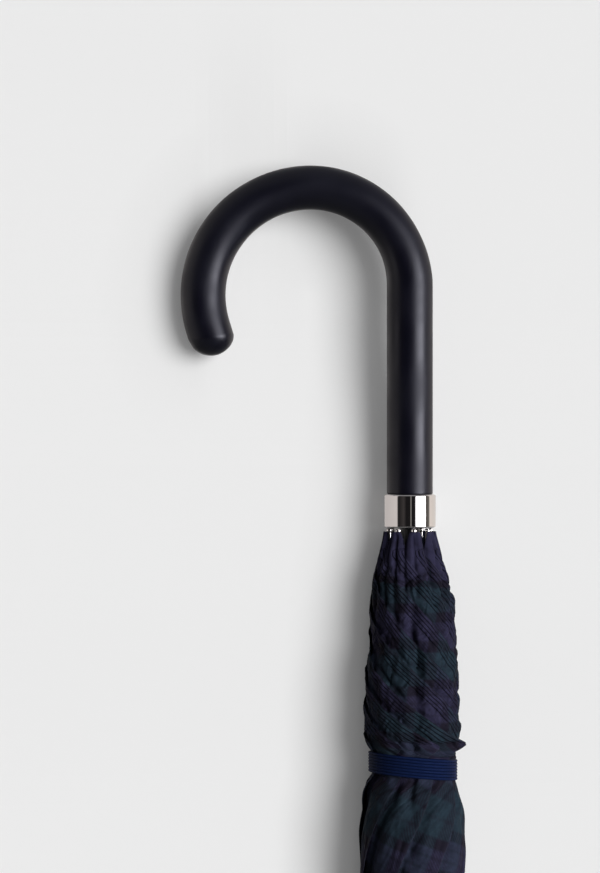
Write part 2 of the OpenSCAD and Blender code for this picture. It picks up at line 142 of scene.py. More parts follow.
def radial(angle: float, radius: float, height: float) -> np.ndarray:
    """Point at a radius from the shaft's axis, at an angle and a height."""
    return np.array([radius * math.cos(angle), radius * math.sin(angle), height])


@dataclass(frozen=True)
class FoldedFrame:
    """Places of the folded frame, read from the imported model.

    Attributes:
        crown_z: Height of the crown's hinge circle.
        phase: Angle of the first rib about the shaft.
        rib_length: From the hinge circle to the end of the rib tips.
    """

    crown_z: float
    phase: float
    rib_length: float

    @classmethod
    def read(cls) -> "FoldedFrame":
        """Reads the first rib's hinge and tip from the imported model.

        Returns:
            The frame's places.
        """
        hinge = cls.joint("rib_1_fold")
        x, y, z = hinge["pos_m"]
        tip_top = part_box("rib_tip_1")[1].z
        return cls(z, math.atan2(y, x), tip_top - z)

    @staticmethod
    def joint(name: str) -> dict[str, Any]:
        """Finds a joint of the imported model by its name."""
        return next(j for j in frame["joints"] if j["name"] == name)

    def rib_angle(self, number: int) -> float:
        """Angle of a rib, counted from 1, about the shaft."""
        return self.phase + (number - 1) * RIB_STEP


class Shape:
    """Turns grids of points into finished mesh objects."""

    @staticmethod
    def grid_faces(rows: int, cols: int, wrap_rows: bool, wrap_cols: bool) -> np.ndarray:
        """Quads of a grid whose points are numbered row by row.

        Args:
            rows: Number of rows.
            cols: Points in a row.
            wrap_rows: Whether the last row joins the first.
            wrap_cols: Whether the last point of a row joins its first.

        Returns:
            Vertex numbers, four to a quad.
        """
        j, k = np.meshgrid(
            np.arange(rows if wrap_rows else rows - 1),
            np.arange(cols if wrap_cols else cols - 1),
            indexing="ij",
        )
        below, beside = (j + 1) % rows, (k + 1) % cols
        quads = [j * cols + k, j * cols + beside, below * cols + beside, below * cols + k]
        return np.stack(quads, axis=-1).reshape(-1, 4)

    @staticmethod
    def strip_caps(rows: int, cols: int) -> np.ndarray:
        """Quads that close both ends of a flat tube whose rows run out along one side and back along the other.

        Args:
            rows: Number of rows.
            cols: Points in a row, half of them on each side.

        Returns:
            Vertex numbers, four to a quad.
        """
        k = np.arange(cols // 2 - 1)
        first = np.stack([k + 1, k, cols - 1 - k, cols - 2 - k], axis=-1)
        last = first[:, ::-1] + (rows - 1) * cols
        return np.concatenate([first, last])

    @staticmethod
    def outward(points: np.ndarray, faces: np.ndarray) -> np.ndarray:
        """Turns the quads of a closed shape so that they point outwards.

        The signed volume is the sum of the tetrahedra from the shape's middle to each half quad.

        Args:
            points: Vertex places.
            faces: Quads of a closed shape.

        Returns:
            The quads, reversed if the signed volume was negative.
        """
        p = points - points.mean(axis=0)
        a, b, c, d = (p[faces[:, k]] for k in range(4))
        volume = np.einsum("ij,ij->", a, np.cross(b, c)) + np.einsum("ij,ij->", a, np.cross(c, d))
        return faces if volume > 0 else faces[:, ::-1]

    @staticmethod
    def piece(
        name: str,
        points: np.ndarray,
        faces: np.ndarray,
        material: bpy.types.Material,
        uv: np.ndarray | None = None,
        values: dict[str, np.ndarray] | None = None,
        sharp: float = 40.0,
    ) -> bpy.types.Object:
        """Makes one mesh object at the origin, with merged poles and smooth shading.

        Args:
            name: Name of the piece.
            points: Vertex places.
            faces: Quads.
            material: Finish of the whole piece.
            uv: Pattern place of each vertex, in metres on the cloth.
            values: Named numbers, one for each vertex.
            sharp: Angle in degrees past which an edge is crisp.

        Returns:
            The new object, linked to the scene.
        """
        mesh = bpy.data.meshes.new(name)
        mesh.from_pydata(points.reshape(-1, 3), [], Shape.outward(points.reshape(-1, 3), faces).tolist())
        Shape.store(mesh, values or {})
        if uv is not None:
            corners = np.empty(len(mesh.loops), dtype=np.int32)
            mesh.loops.foreach_get("vertex_index", corners)
            layer = mesh.uv_layers.new(name="cloth")
            layer.data.foreach_set("uv", uv.reshape(-1, 2)[corners].astype(np.float32).ravel())
        work = bmesh.new()
        work.from_mesh(mesh)
        bmesh.ops.remove_doubles(work, verts=work.verts, dist=1e-7)
        bmesh.ops.dissolve_degenerate(work, edges=work.edges, dist=1e-8)
        work.to_mesh(mesh)
        work.free()
        mesh.shade_smooth()
        mesh.set_sharp_from_angle(angle=math.radians(sharp))
        return Shape.link(name, mesh, material)

    @staticmethod
    def sleeve(
        name: str,
        outer: np.ndarray,
        inner: np.ndarray,
        material: bpy.types.Material,
        uv: np.ndarray,
        values: dict[str, np.ndarray],
        sharp: float = 40.0,
    ) -> bpy.types.Object:
        """Makes a piece of doubled cloth, whose rows run out along one face and back along the other.

        Args:
            name: Name of the piece.
            outer: Grid of points of the first face.
            inner: Grid of points of the second face.
            material: Finish of the whole piece.
            uv: Pattern place of each point of a face, in metres on the cloth.
            values: Named numbers, one for each point of a face.
            sharp: Angle in degrees past which an edge is crisp.

        Returns:
            The new object, linked to the scene.
        """
        points = Shape.doubled(outer, inner)
        rows, cols = points.shape[:2]
        faces = np.concatenate([Shape.grid_faces(rows, cols, False, True), Shape.strip_caps(rows, cols)])
        both = {key: Shape.doubled(value, value) for key, value in values.items()}
        return Shape.piece(name, points, faces, material, Shape.doubled(uv, uv), both, sharp)

    @staticmethod
    def doubled(outer: np.ndarray, inner: np.ndarray) -> np.ndarray:
        """Joins the rows of two faces, the second one backwards."""
        return np.concatenate([outer, inner[:, ::-1]], axis=1)

    @staticmethod
    def store(mesh: bpy.types.Mesh, values: dict[str, np.ndarray]) -> None:
        """Stores named numbers on a mesh, one for each vertex.

        Args:
            mesh: The mesh.
            values: The numbers by name.
        """
        for key, numbers in values.items():
            layer = mesh.attributes.new(key, "FLOAT", "POINT")
            layer.data.foreach_set("value", numbers.astype(np.float32).ravel())

    @staticmethod
    def link(name: str, mesh: bpy.types.Mesh, material: bpy.types.Material) -> bpy.types.Object:
        """Puts a mesh in the scene with its material.

        Args:
            name: Name of the object.
            mesh: Its mesh.
            material: Finish of the whole mesh.

        Returns:
            The new object.
        """
        mesh.materials.append(material)
        made = bpy.data.objects.new(name, mesh)
        bpy.context.scene.collection.objects.link(made)
        return made


class Graph:
    """Adds and links the nodes of one shader tree."""

    def __init__(self, tree: bpy.types.NodeTree) -> None:
        """Keeps the tree that nodes are added to."""
        self.tree = tree

    @classmethod
    def empty(cls, owner: bpy.types.Material | bpy.types.World) -> "Graph":
        """Starts on the emptied shader tree of a material or a world.

        Args:
            owner: The material or the world.

        Returns:
            The graph.
        """
        owner.use_nodes = True
        owner.node_tree.nodes.clear()
        return cls(owner.node_tree)

    def add(self, kind: str, inputs: dict[Any, Any] | None = None, **settings: Any) -> bpy.types.Node:
        """Adds one node.

        Args:
            kind: Blender's name of the node type.
            inputs: Socket name or number to a constant or to another node's output.
            settings: Attributes of the node.

        Returns:
            The new node.
        """
        made = self.tree.nodes.new(kind)
        for key, value in settings.items():
            setattr(made, key, value)
        for key, value in (inputs or {}).items():
            self.join(made.inputs[key], value)
        return made

    def join(self, socket: bpy.types.NodeSocket, value: Any) -> None:
        """Links another node's output to an input, or sets the input to a constant.

        Args:
            socket: The input.
            value: The output or the constant.
        """
        if isinstance(value, bpy.types.NodeSocket):
            self.tree.links.new(value, socket)
        else:
            socket.default_value = value

    def feed(self, node: bpy.types.Node, **values: Any) -> None:
        """Links or sets inputs of a node that is there already.

        Args:
            node: The node.
            values: Input name, with _ for a space, to a constant or to another node's output.
        """
        for key, value in values.items():
            self.join(node.inputs[key.replace("_", " ")], value)

    def stored(self, name: str) -> bpy.types.NodeSocket:
        """Reads a number that is stored on the mesh."""
        return self.add("ShaderNodeAttribute", attribute_name=name).outputs["Fac"]

    def noise(self, place: Any, scale: Any, detail: float, **more: float) -> bpy.types.NodeSocket:
        """Adds a noise texture and returns its value."""
        inputs = {"Vector": place, "Scale": scale, "Detail": detail, **more}
        return self.add("ShaderNodeTexNoise", inputs).outputs[0]

    def math(self, operation: str, *terms: Any) -> bpy.types.NodeSocket:
        """Adds a Math node and returns its value."""
        return self.add("ShaderNodeMath", dict(enumerate(terms)), operation=operation).outputs[0]

    def fade(self, value: Any, low: float, high: float, at_low: float, at_high: float) -> bpy.types.NodeSocket:
        """Maps a value softly from the range low to high on to at_low to at_high, clipped."""
        inputs = {"Value": value, "From Min": low, "From Max": high, "To Min": at_low, "To Max": at_high}
        return self.add("ShaderNodeMapRange", inputs, interpolation_type="SMOOTHSTEP").outputs[0]

    def mix(self, share: Any, first: Any, second: Any, blend: str = "MIX") -> bpy.types.NodeSocket:
        """Mixes two colours by a share and returns the colour."""
        inputs = {0: share, 6: first, 7: second}
        return self.add("ShaderNodeMix", inputs, data_type="RGBA", blend_type=blend).outputs[2]

    def ramp(self, value: Any, stops: Sequence[tuple[float, Sequence[float]]], kind: str) -> bpy.types.NodeSocket:
        """Adds a colour ramp.

        Args:
            value: Place on the ramp.
            stops: Place and colour of each stop.
            kind: CONSTANT, LINEAR or EASE.

        Returns:
            The ramp's colour.
        """
        made = self.add("ShaderNodeValToRGB", {"Fac": value})
        made.color_ramp.interpolation = kind
        elements = made.color_ramp.elements
        while len(elements) < len(stops):
            elements.new(1.0)
        for element, (place, colour) in zip(elements, stops):
            element.position = place
            element.color = (*colour, 1.0)
        return made.outputs["Color"]


class Effects:
    """Shader groups that several finishes share, each built once."""

    made: dict[str, bpy.types.NodeTree] = {}

    @classmethod
    def start(cls, name: str, inputs: dict[str, float], outputs: Sequence[str]) -> tuple[Graph, dict, dict]:
        """Starts a group with a Vector input, named numbers and named value outputs.

        Args:
            name: Name of the group.
            inputs: Name and default of each number.
            outputs: Names of the values it puts out.

        Returns:
            The graph, its input sockets and its output sockets by name.
        """
        tree = bpy.data.node_groups.new(name, "ShaderNodeTree")
        tree.interface.new_socket(name="Vector", in_out="INPUT", socket_type="NodeSocketVector")
        for key, value in inputs.items():
            tree.interface.new_socket(name=key, in_out="INPUT", socket_type="NodeSocketFloat").default_value = value
        for key in outputs:
            tree.interface.new_socket(name=key, in_out="OUTPUT", socket_type="NodeSocketFloat")
        graph = Graph(tree)
        source = graph.add("NodeGroupInput")
        target = graph.add("NodeGroupOutput")
        cls.made[name] = tree
        return graph, {s.name: s for s in source.outputs}, {s.name: s for s in target.inputs}

    @classmethod
    def grain(cls) -> bpy.types.NodeTree:
        """Fine skin of a moulded or painted surface: a cell height and slow patches of gloss.

        Returns:
            The group.
        """
        if "skin grain" not in cls.made:
            g, inp, out = cls.start("skin grain", {"Scale": 1800.0, "Patch Scale": 40.0}, ["Height", "Patch"])
            cells = g.add("ShaderNodeTexVoronoi", {"Vector": inp["Vector"], "Scale": inp["Scale"]})
            fine = g.noise(inp["Vector"], inp["Scale"], 2.0)
            height = g.math("MULTIPLY_ADD", cells.outputs["Distance"], 0.6, fine)
            g.join(out["Height"], height)
            g.join(out["Patch"], g.noise(inp["Vector"], inp["Patch Scale"], 3.0))
        return cls.made["skin grain"]

    @classmethod
    def scuffs(cls) -> bpy.types.NodeTree:
        """Hairline rubs of handled metal: thin streaks along Z and a soft bloom.

        Returns:
            The group.
        """
        if "metal scuffs" not in cls.made:
            g, inp, out = cls.start("metal scuffs", {"Scale": 900.0, "Stretch": 0.06}, ["Streak", "Bloom"])
            squeeze = g.add("ShaderNodeCombineXYZ", {"X": 1.0, "Y": 1.0, "Z": inp["Stretch"]}).outputs[0]
            along = g.add("ShaderNodeVectorMath", {0: inp["Vector"], 1: squeeze}, operation="MULTIPLY").outputs[0]
            streak = g.noise(along, inp["Scale"], 3.0)
            g.join(out["Streak"], g.fade(streak, 0.62, 0.8, 0.0, 1.0))
            g.join(out["Bloom"], g.noise(inp["Vector"], 70.0, 4.0))
        return cls.made["metal scuffs"]

    @classmethod
    def weave(cls) -> bpy.types.NodeTree:
        """Crossed threads: which thread lies on top, and the height of the two sets of threads.

        Returns:
            The group.
        """
        if "thread weave" not in cls.made:
            g, inp, out = cls.start("thread weave", {"Thread": 0.0004, "Twill": 1.0}, ["Over", "Height"])
            parts = g.add("ShaderNodeSeparateXYZ", {0: inp["Vector"]}).outputs
            turns = [g.math("DIVIDE", parts[k], inp["Thread"]) for k in (0, 1)]
            angle = [g.math("MULTIPLY", turn, math.pi) for turn in turns]
            bars = [g.math("ABSOLUTE", g.math("SINE", value)) for value in angle]
            lean = g.math("MULTIPLY_ADD", turns[1], inp["Twill"], turns[0])
            over = g.fade(g.math("SINE", g.math("MULTIPLY", lean, math.pi / 2)), -0.4, 0.4, 0.0, 1.0)
            height = g.math("ADD", g.math("MULTIPLY", bars[0], over),
                            g.math("MULTIPLY", bars[1], g.math("SUBTRACT", 1.0, over)))
            g.join(out["Over"], over)
            g.join(out["Height"], height)
        return cls.made["thread weave"]


@dataclass(frozen=True)
class Finish:
    """A surface of one kind: its base colour and how rough it is."""

    name: str
    colour: Colour
    roughness: float

    def begin(self) -> tuple[bpy.types.Material, Graph, bpy.types.Node]:
        """Makes an empty material with its Principled shader.

        Returns:
            The material, its graph and the shader node.
        """
        material = bpy.data.materials.new(self.name)
        graph = Graph.empty(material)
        shader = graph.add("ShaderNodeBsdfPrincipled", {"Base Color": self.shade(), "Roughness": self.roughness})
        graph.add("ShaderNodeOutputMaterial", {"Surface": shader.outputs[0]})
        return material, graph, shader

    def effect(self, graph: Graph, tree: bpy.types.NodeTree, place: Any, **values: float) -> dict[str, Any]:
        """Places a shared group in a material.

        Args:
            graph: The material's graph.
            tree: The shared group.
            place: Where the effect reads its place from.
            values: Numbers of the group, with _ for a space in a name.

        Returns:
            The group's outputs by name.
        """
        node = graph.add("ShaderNodeGroup", node_tree=tree)
        graph.feed(node, Vector=place, **values)
        return {s.name: s for s in node.outputs}

    def shade(self, factor: float = 1.0) -> tuple[float, ...]:
        """The base colour times a factor, with full cover."""
        return (*(factor * c for c in self.colour), 1.0)

    def bump(self, graph: Graph, shader: bpy.types.Node, height: Any, strength: float, depth: float) -> None:
        """Feeds a height to the shader's normal."""
        node = graph.add("ShaderNodeBump", {"Height": height, "Strength": strength, "Distance": depth})
        graph.feed(shader, Normal=node.outputs[0])


@dataclass(frozen=True)
class SkinFinish(Finish):
    """Moulded, rubbery or painted skin with a fine grain."""

    grain_scale: float = 1800.0
    grain_depth: float = 0.03 * MM
    gloss_spread: float = 0.08
    specular: float = 0.5
    sheen_tint: Colour = (1.0, 1.0, 1.0)
    patch_scale: float = 45.0
    patch_shade: float = 0.82

    def material(self) -> bpy.types.Material:
        """Builds the material: grain as bump, slow patches in the roughness and the colour.

        Returns:
            The material.
        """
        material, g, shader = self.begin()
        place = g.add("ShaderNodeTexCoord").outputs["Object"]
        grain = self.effect(g, Effects.grain(), place, Scale=self.grain_scale, Patch_Scale=self.patch_scale)
        low, high = self.roughness - self.gloss_spread, self.roughness + self.gloss_spread
        g.feed(shader, Roughness=g.fade(grain["Patch"], 0.3, 0.7, low, high),
               Base_Color=g.mix(grain["Patch"], self.shade(self.patch_shade), self.shade()),
               Specular_IOR_Level=self.specular, Specular_Tint=(*self.sheen_tint, 1.0))
        self.bump(g, shader, grain["Height"], 0.35, self.grain_depth)
        return material


@dataclass(frozen=True)
class MetalFinish(Finish):
    """Plated or drawn metal with hairline rubs."""

    streak_scale: float = 900.0
    streak_stretch: float = 0.06
    rub: float = 0.12
    dulled: float = 0.9

    def material(self) -> bpy.types.Material:
        """Builds the material: streaks and bloom in the roughness, a faint bloom in the colour.

        Returns:
            The material.
        """
        material, g, shader = self.begin()
        place = g.add("ShaderNodeTexCoord").outputs["Object"]
        scuffs = self.effect(g, Effects.scuffs(), place, Scale=self.streak_scale, Stretch=self.streak_stretch)
        haze = g.fade(scuffs["Bloom"], 0.35, 0.75, self.roughness, self.roughness + 0.3 * self.rub)
        g.feed(shader, Roughness=g.math("MULTIPLY_ADD", scuffs["Streak"], self.rub, haze),
               Base_Color=g.mix(scuffs["Bloom"], self.shade(self.dulled), self.shade()), Metallic=1.0)
        self.bump(g, shader, scuffs["Streak"], 0.05, 0.01 * MM)
        return material


@dataclass(frozen=True)
class CheckCloth(Finish):
    """Light woven cloth in a dark traditional check, with a sewn hem and pressed folds."""

    navy: Colour = (0.0345, 0.0322, 0.0675)
    green: Colour = (0.0222, 0.0372, 0.0527)
    black: Colour = (0.0140, 0.0122, 0.0208)
    repeat: float = CHECK
    thread: float = 0.42 * MM
    line_pitch: float = 1.6 * MM
    hem_width: float = 7.4 * MM
    pucker_pitch: float = 3.4 * MM
    crease_depth: float = 30.0
    crease_scale: tuple[float, float] = (105.0, 38.0)
    soft: float = 0.014
    stitch: Colour = (0.002, 0.002, 0.004)
    # Lighter colour painted along the hem and fold edges as a highlight.
    edge_highlight: Colour = (0.04, 0.044, 0.06)
    slub: Colour = (0.004, 0.004, 0.007)
    over: tuple[float, float] = (0.38, 0.7)
    specular: float = 0.05

    def sett(self) -> list[tuple[float, Colour]]:
        """Stripes across one repeat.

        Returns:
            The share at which each starts and its colour.
        """
        green, navy, black = self.green, self.navy, self.black
        dim_green = tuple(0.5 * (a + b) for a, b in zip(green, black))
        dim_navy = tuple(0.5 * (a + b) for a, b in zip(navy, black))
        return [(0.0, green), (0.165, dim_green), (0.2, green), (0.365, black), (0.515, navy),
                (0.6, dim_navy), (0.632, navy), (0.745, dim_navy), (0.777, navy), (0.86, black)]

    def stripes(self, g: Graph, place: Any) -> bpy.types.NodeSocket:
        """Colour of one set of threads across the repeat, with softened edges between its stripes.

        Args:
            g: The material's graph.
            place: Place across the threads.

        Returns:
            The colour.
        """
        share = g.math("FRACT", g.math("DIVIDE", place, self.repeat))
        stops: list[tuple[float, Colour]] = [(0.0, self.green)]
        for (_, before), (start, colour) in zip(self.sett(), self.sett()[1:]):
            stops += [(start - self.soft, before), (start + self.soft, colour)]
        return g.ramp(share, stops + [(1.0 - 2 * self.soft, self.black), (1.0, self.green)], "LINEAR")

    def puckers(self, g: Graph, hem: Any, place: Any) -> bpy.types.NodeSocket:
        """Height of the short gathers across the hem's stitching, uneven along it.

        Args:
            g: The material's graph.
            hem: Distance from the hem's edge.
            place: Place in the check.

        Returns:
            The height.
        """
        uneven = g.noise(place, 130.0, 2.0)
        drift = g.math("MULTIPLY", uneven, 9.0)
        turn = g.math("MULTIPLY_ADD", g.stored("hem_along"), FULL_TURN / self.pucker_pitch, drift)
        inner, outer = g.fade(hem, 2.0 * MM, 4.5 * MM, 0.0, 1.0), g.fade(hem, 7.0 * MM, 13.0 * MM, 1.0, 0.0)
        depth = g.math("MULTIPLY", g.math("MULTIPLY", inner, outer), g.fade(uneven, 0.4, 0.7, 0.2, 2.6))
        return g.math("MULTIPLY", g.math("SINE", turn), depth)

    def creases(self, g: Graph, place: Any) -> bpy.types.NodeSocket:
        """Height of soft creases, drawn out along the wrapped cloth.

        Args:
            g: The material's graph.
            place: Place in the check.

        Returns:
            The height.
        """
        inputs = {"Vector": place, "Rotation": (0.0, 0.0, 0.7), "Scale": (*self.crease_scale, 1.0)}
        drawn = g.add("ShaderNodeMapping", inputs).outputs[0]
        return g.math("MULTIPLY", g.noise(drawn, 1.0, 1.8, Distortion=0.6), self.crease_depth)

    def material(self) -> bpy.types.Material:
        """Builds the material from the pattern place and the distances to hem and fold edges.

        Returns:
            The material.
        """
        material, g, shader = self.begin()
        place = g.add("ShaderNodeUVMap", uv_map="cloth").outputs[0]
        parts = g.add("ShaderNodeSeparateXYZ", {0: place}).outputs
        weave = self.effect(g, Effects.weave(), place, Thread=self.thread)
        share = g.fade(weave["Over"], 0.0, 1.0, *self.over)
        check = g.mix(share, self.stripes(g, parts[0]), self.stripes(g, parts[1]))
        hem, fold = g.stored("hem_distance"), g.stored("fold_distance")
        wave = g.math("COSINE", g.math("MULTIPLY", hem, FULL_TURN / self.line_pitch))
        inside = g.fade(hem, self.hem_width, self.hem_width + 0.5 * MM, 1.0, 0.0)
        lines = g.math("MULTIPLY", g.fade(wave, 0.2, 0.95, 0.0, 1.0), inside)
        sewn = g.mix(g.math("MULTIPLY", lines, 0.85), check, (*self.stitch, 1.0))
        # Painted highlight: the hem's very edge and the pressed fold edges are mixed towards a lighter colour.
        lip_highlight = g.fade(hem, 0.2 * MM, 0.7 * MM, 0.2, 0.0)
        edge = g.math("MAXIMUM", lip_highlight, g.fade(fold, 0.1 * MM, 0.9 * MM, 0.35, 0.0))
        highlit = g.mix(edge, sewn, (*self.edge_highlight, 1.0))
        slub = g.noise(place, 420.0, 3.0)
        mottled = g.mix(g.fade(slub, 0.35, 0.65, 0.28, 0.0), highlit, (*self.slub, 1.0))
        rough = g.fade(slub, 0.3, 0.7, self.roughness - 0.08, self.roughness + 0.08)
        g.feed(shader, Base_Color=mottled, Roughness=rough, Specular_IOR_Level=self.specular)
        height = g.math("MULTIPLY_ADD", weave["Height"], 0.08, g.math("MULTIPLY", lines, -1.6))
        height = g.math("ADD", height, self.puckers(g, hem, place))
        height = g.math("ADD", height, self.creases(g, place))
        self.bump(g, shader, height, 0.8, 0.2 * MM)
        return material


@dataclass(frozen=True)
class ElasticFinish(Finish):
    """Ribbed elastic braid: fine crosswise threads on raised ribs."""

    thread: float = 0.5 * MM
    # Share of the colour left in the grooves between the ribs, as painted shade.
    groove_painted_shade: float = 0.22
    thread_shade: Colour = (0.006, 0.01, 0.04)
    specular: float = 0.05

    def material(self) -> bpy.types.Material:
        """Builds the material from the band's own place: along it, and across it.

        Returns:
            The material.
        """
        material, g, shader = self.begin()
        place = g.add("ShaderNodeUVMap", uv_map="cloth").outputs[0]
        weave = self.effect(g, Effects.weave(), place, Thread=self.thread, Twill=0.0)
        # Painted shade: the grooves between the raised ribs are darkened in the colour.
        rise = g.fade(g.stored("rib_height"), 0.05, 0.75, 0.0, 1.0)
        tone = g.mix(rise, self.shade(self.groove_painted_shade), self.shade())
        thread = g.mix(g.fade(weave["Height"], 0.0, 1.0, 0.0, 0.25), tone, (*self.thread_shade, 1.0))
        g.feed(shader, Base_Color=thread, Specular_IOR_Level=self.specular)
        self.bump(g, shader, weave["Height"], 0.5, 0.12 * MM)
        return material


@dataclass(frozen=True)
class FeltFinish(Finish):
    """Pressed felt or cloth of a hidden washer."""

    thread: float = 0.5 * MM
    lit_thread: float = 1.8

    def material(self) -> bpy.types.Material:
        """Builds the material from crossed threads in the washer's own plane.

        Returns:
            The material.
        """
        material, g, shader = self.begin()
        place = g.add("ShaderNodeTexCoord").outputs["Object"]
        weave = self.effect(g, Effects.weave(), place, Thread=self.thread)
        g.feed(shader, Base_Color=g.mix(weave["Over"], self.shade(), self.shade(self.lit_thread)))
        self.bump(g, shader, weave["Height"], 0.4, 0.1 * MM)
        return material


class Finishes:
    """The umbrella's materials, built once."""

    def __init__(self) -> None:
        """Builds every finish."""
        self.handle = SkinFinish("soft_touch_black", (0.0025, 0.0025, 0.0066), 0.41, specular=0.4,
                                 sheen_tint=(0.93, 0.93, 1.0)).material()
        self.nylon = SkinFinish("moulded_nylon", (0.012, 0.012, 0.013), 0.5, grain_scale=1200.0).material()
        self.tube = SkinFinish("painted_tube", (0.013, 0.013, 0.015), 0.3, grain_scale=2600.0,
                               grain_depth=0.01 * MM, gloss_spread=0.06).material()
        self.chrome = MetalFinish("polished_plate", (0.83, 0.8, 0.78), 0.045, rub=0.07).material()
        self.steel = MetalFinish("drawn_steel", (0.5, 0.5, 0.53), 0.26, streak_stretch=0.02, rub=0.2).material()
        self.cloth = CheckCloth("check_cloth", (0.012, 0.014, 0.03), 0.7).material()
        self.strap = ElasticFinish("ribbed_elastic", (0.0062, 0.0138, 0.0545), 0.55).material()
        self.felt = FeltFinish("felt_washer", (0.008, 0.009, 0.018), 0.9).material()


@dataclass
class CrookHandle:
    """Bent round handle: straight grip, a quarter turn, a wider turn past the half circle and a rounded end."""

    finishes: Finishes
    grip_r: float = 11.75 * MM
    near_r: float = 50.6 * MM
    far_r: float = 55 * MM
    past: float = math.radians(17.0)
    nose: float = 3 * MM
    end_lean: float = 0.65 * MM
    thinned: float = 0.5 * MM
    edge_round: float = 1.3 * MM
    foot_bevel: float = 0.45 * MM
    spigot_r: float = 11.4 * MM
    socket_r: float = 5.05 * MM
    spigot: float = 7 * MM
    socket: float = 60.3 * MM
    sides: int = 112

    def axis(self, along: np.ndarray, straight: float) -> tuple[np.ndarray, np.ndarray]:
        """Middle line of the stock: straight up, two arcs towards -X, then straight on.

        Args:
            along: Distances along the line from the shoulder.
            straight: Length of the straight grip.

        Returns:
            Points on the line, from the shoulder, and the directions across it in the plane of the bend.
        """
        near = np.clip((along - straight) / self.near_r, 0.0, math.pi / 2)
        far = np.clip((along - straight - self.near_r * math.pi / 2) / self.far_r, 0.0, math.pi / 2 + self.past)
        rest = along - straight - self.near_r * near - self.far_r * far
        after, turn = np.maximum(rest, 0.0), near + far
        x = self.near_r * (np.cos(near) - 1.0) - self.far_r * np.sin(far) - np.sin(turn) * after
        z = self.near_r * np.sin(near) + self.far_r * (np.cos(far) - 1.0) + np.cos(turn) * after
        z = z + straight + np.minimum(rest, 0.0)
        across = np.stack([np.cos(turn), np.zeros_like(turn), np.sin(turn)], axis=-1)
        return np.stack([x, np.zeros_like(x), z], axis=-1), across

    def foot_and_grip(self, straight: float, spigot: float, socket: float) -> tuple[np.ndarray, np.ndarray]:
        """Rings from the socket's end, round the spigot and up to the end of the bend.

        Args:
            straight: Length of the straight grip.
            spigot: Length of the spigot below the foot.
            socket: Depth of the shaft's socket above the foot.

        Returns:
            Distances along the middle line and radii.
        """
        foot = [(socket, 0.0), (socket, self.socket_r), (-spigot, self.socket_r), (-spigot, self.spigot_r),
                (0.0, self.spigot_r), (0.0, self.grip_r - self.foot_bevel), (self.foot_bevel, self.grip_r)]
        end = straight + self.near_r * math.pi / 2 + self.far_r * (math.pi / 2 + self.past)
        body = np.linspace(1.5 * MM, end, 190)
        along = np.concatenate([[p[0] for p in foot], body])
        return along, np.concatenate([[p[1] for p in foot], self.grip_r - self.thin(body - straight)])

    def thin(self, past: np.ndarray) -> np.ndarray:
        """How much thinner the stock is drawn in the bend: most in its first half, half as much in the rest.

        Args:
            past: Distances along the middle line from the start of the bend.

        Returns:
            What comes off the radius.
        """
        quarter = self.near_r * math.pi / 2
        drawn = smoothstep(0.0, 0.35 * quarter, past) - 0.5 * smoothstep(1.2 * quarter, 1.7 * quarter, past)
        return self.thinned * drawn

    def rounded_end(self, angle: np.ndarray) -> tuple[np.ndarray, np.ndarray]:
        """Rings of the nose and its rounded end, by ring and by angle round the stock.

        A ball whose middle leans to the inside of the hook cuts the stock off. The rim where they meet is a
        curve of the second degree through both.

        Args:
            angle: Angles round the stock, from the outside of the bend.

        Returns:
            Distances from the end of the bend and radii.
        """
        stock = self.grip_r - 0.5 * self.thinned
        ball = stock + self.end_lean + 0.05 * MM

        def reach(radius: Any) -> np.ndarray:
            """Height of the ball over a place on the stock's cross section."""
            square = (radius * np.cos(angle) + self.end_lean) ** 2 + (radius * np.sin(angle)) ** 2
            return self.nose + np.sqrt(ball ** 2 - square)

        wall = reach(stock)
        inner = stock - self.edge_round
        up = np.linspace(0.0, 1.0, 7)[1:, None] * (wall - self.edge_round)
        k = np.linspace(0.0, 1.0, 9)[1:, None]
        rim = (1 - k) ** 2 * (wall - self.edge_round) + 2 * k * (1 - k) * wall + k ** 2 * reach(inner)
        rim_r = (1 - k ** 2) * stock + k ** 2 * inner
        cap_r = inner * np.cos(np.linspace(0.0, math.pi / 2, 24)[1:, None])
        along = np.concatenate([up, rim, reach(cap_r)])
        radius = np.concatenate([np.full(up.shape, stock), rim_r + 0 * rim, cap_r + 0 * angle])
        return along, radius

    def build(self) -> bpy.types.Object:
        """Sweeps the rings along the middle line and dresses the handle.

        Returns:
            The handle.
        """
        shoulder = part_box("collar")[1].z + 0.05 * MM
        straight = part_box("handle")[1].z - self.near_r - self.grip_r - shoulder
        angle = ring_angles(self.sides)
        grip_along, grip_r = self.foot_and_grip(straight, self.spigot, self.socket - self.spigot)
        end_along, end_r = self.rounded_end(angle)
        along = np.concatenate([grip_along[:, None] + 0 * angle, grip_along[-1] + end_along])
        radius = np.concatenate([grip_r[:, None] + 0 * angle, end_r])
        middle, across = self.axis(along, straight)
        side = np.cos(angle)[None, :, None] * across
        depth = np.sin(angle)[None, :, None] * np.array([0.0, 1.0, 0.0])
        points = middle + radius[..., None] * (side + depth) + np.array([0.0, 0.0, shoulder])
        faces = Shape.grid_faces(*along.shape, False, True)
        made = Shape.piece("crook_handle", points, faces, self.finishes.handle, sharp=28.0)
        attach(made, Body.STICK.value)
        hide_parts("handle")
        return made


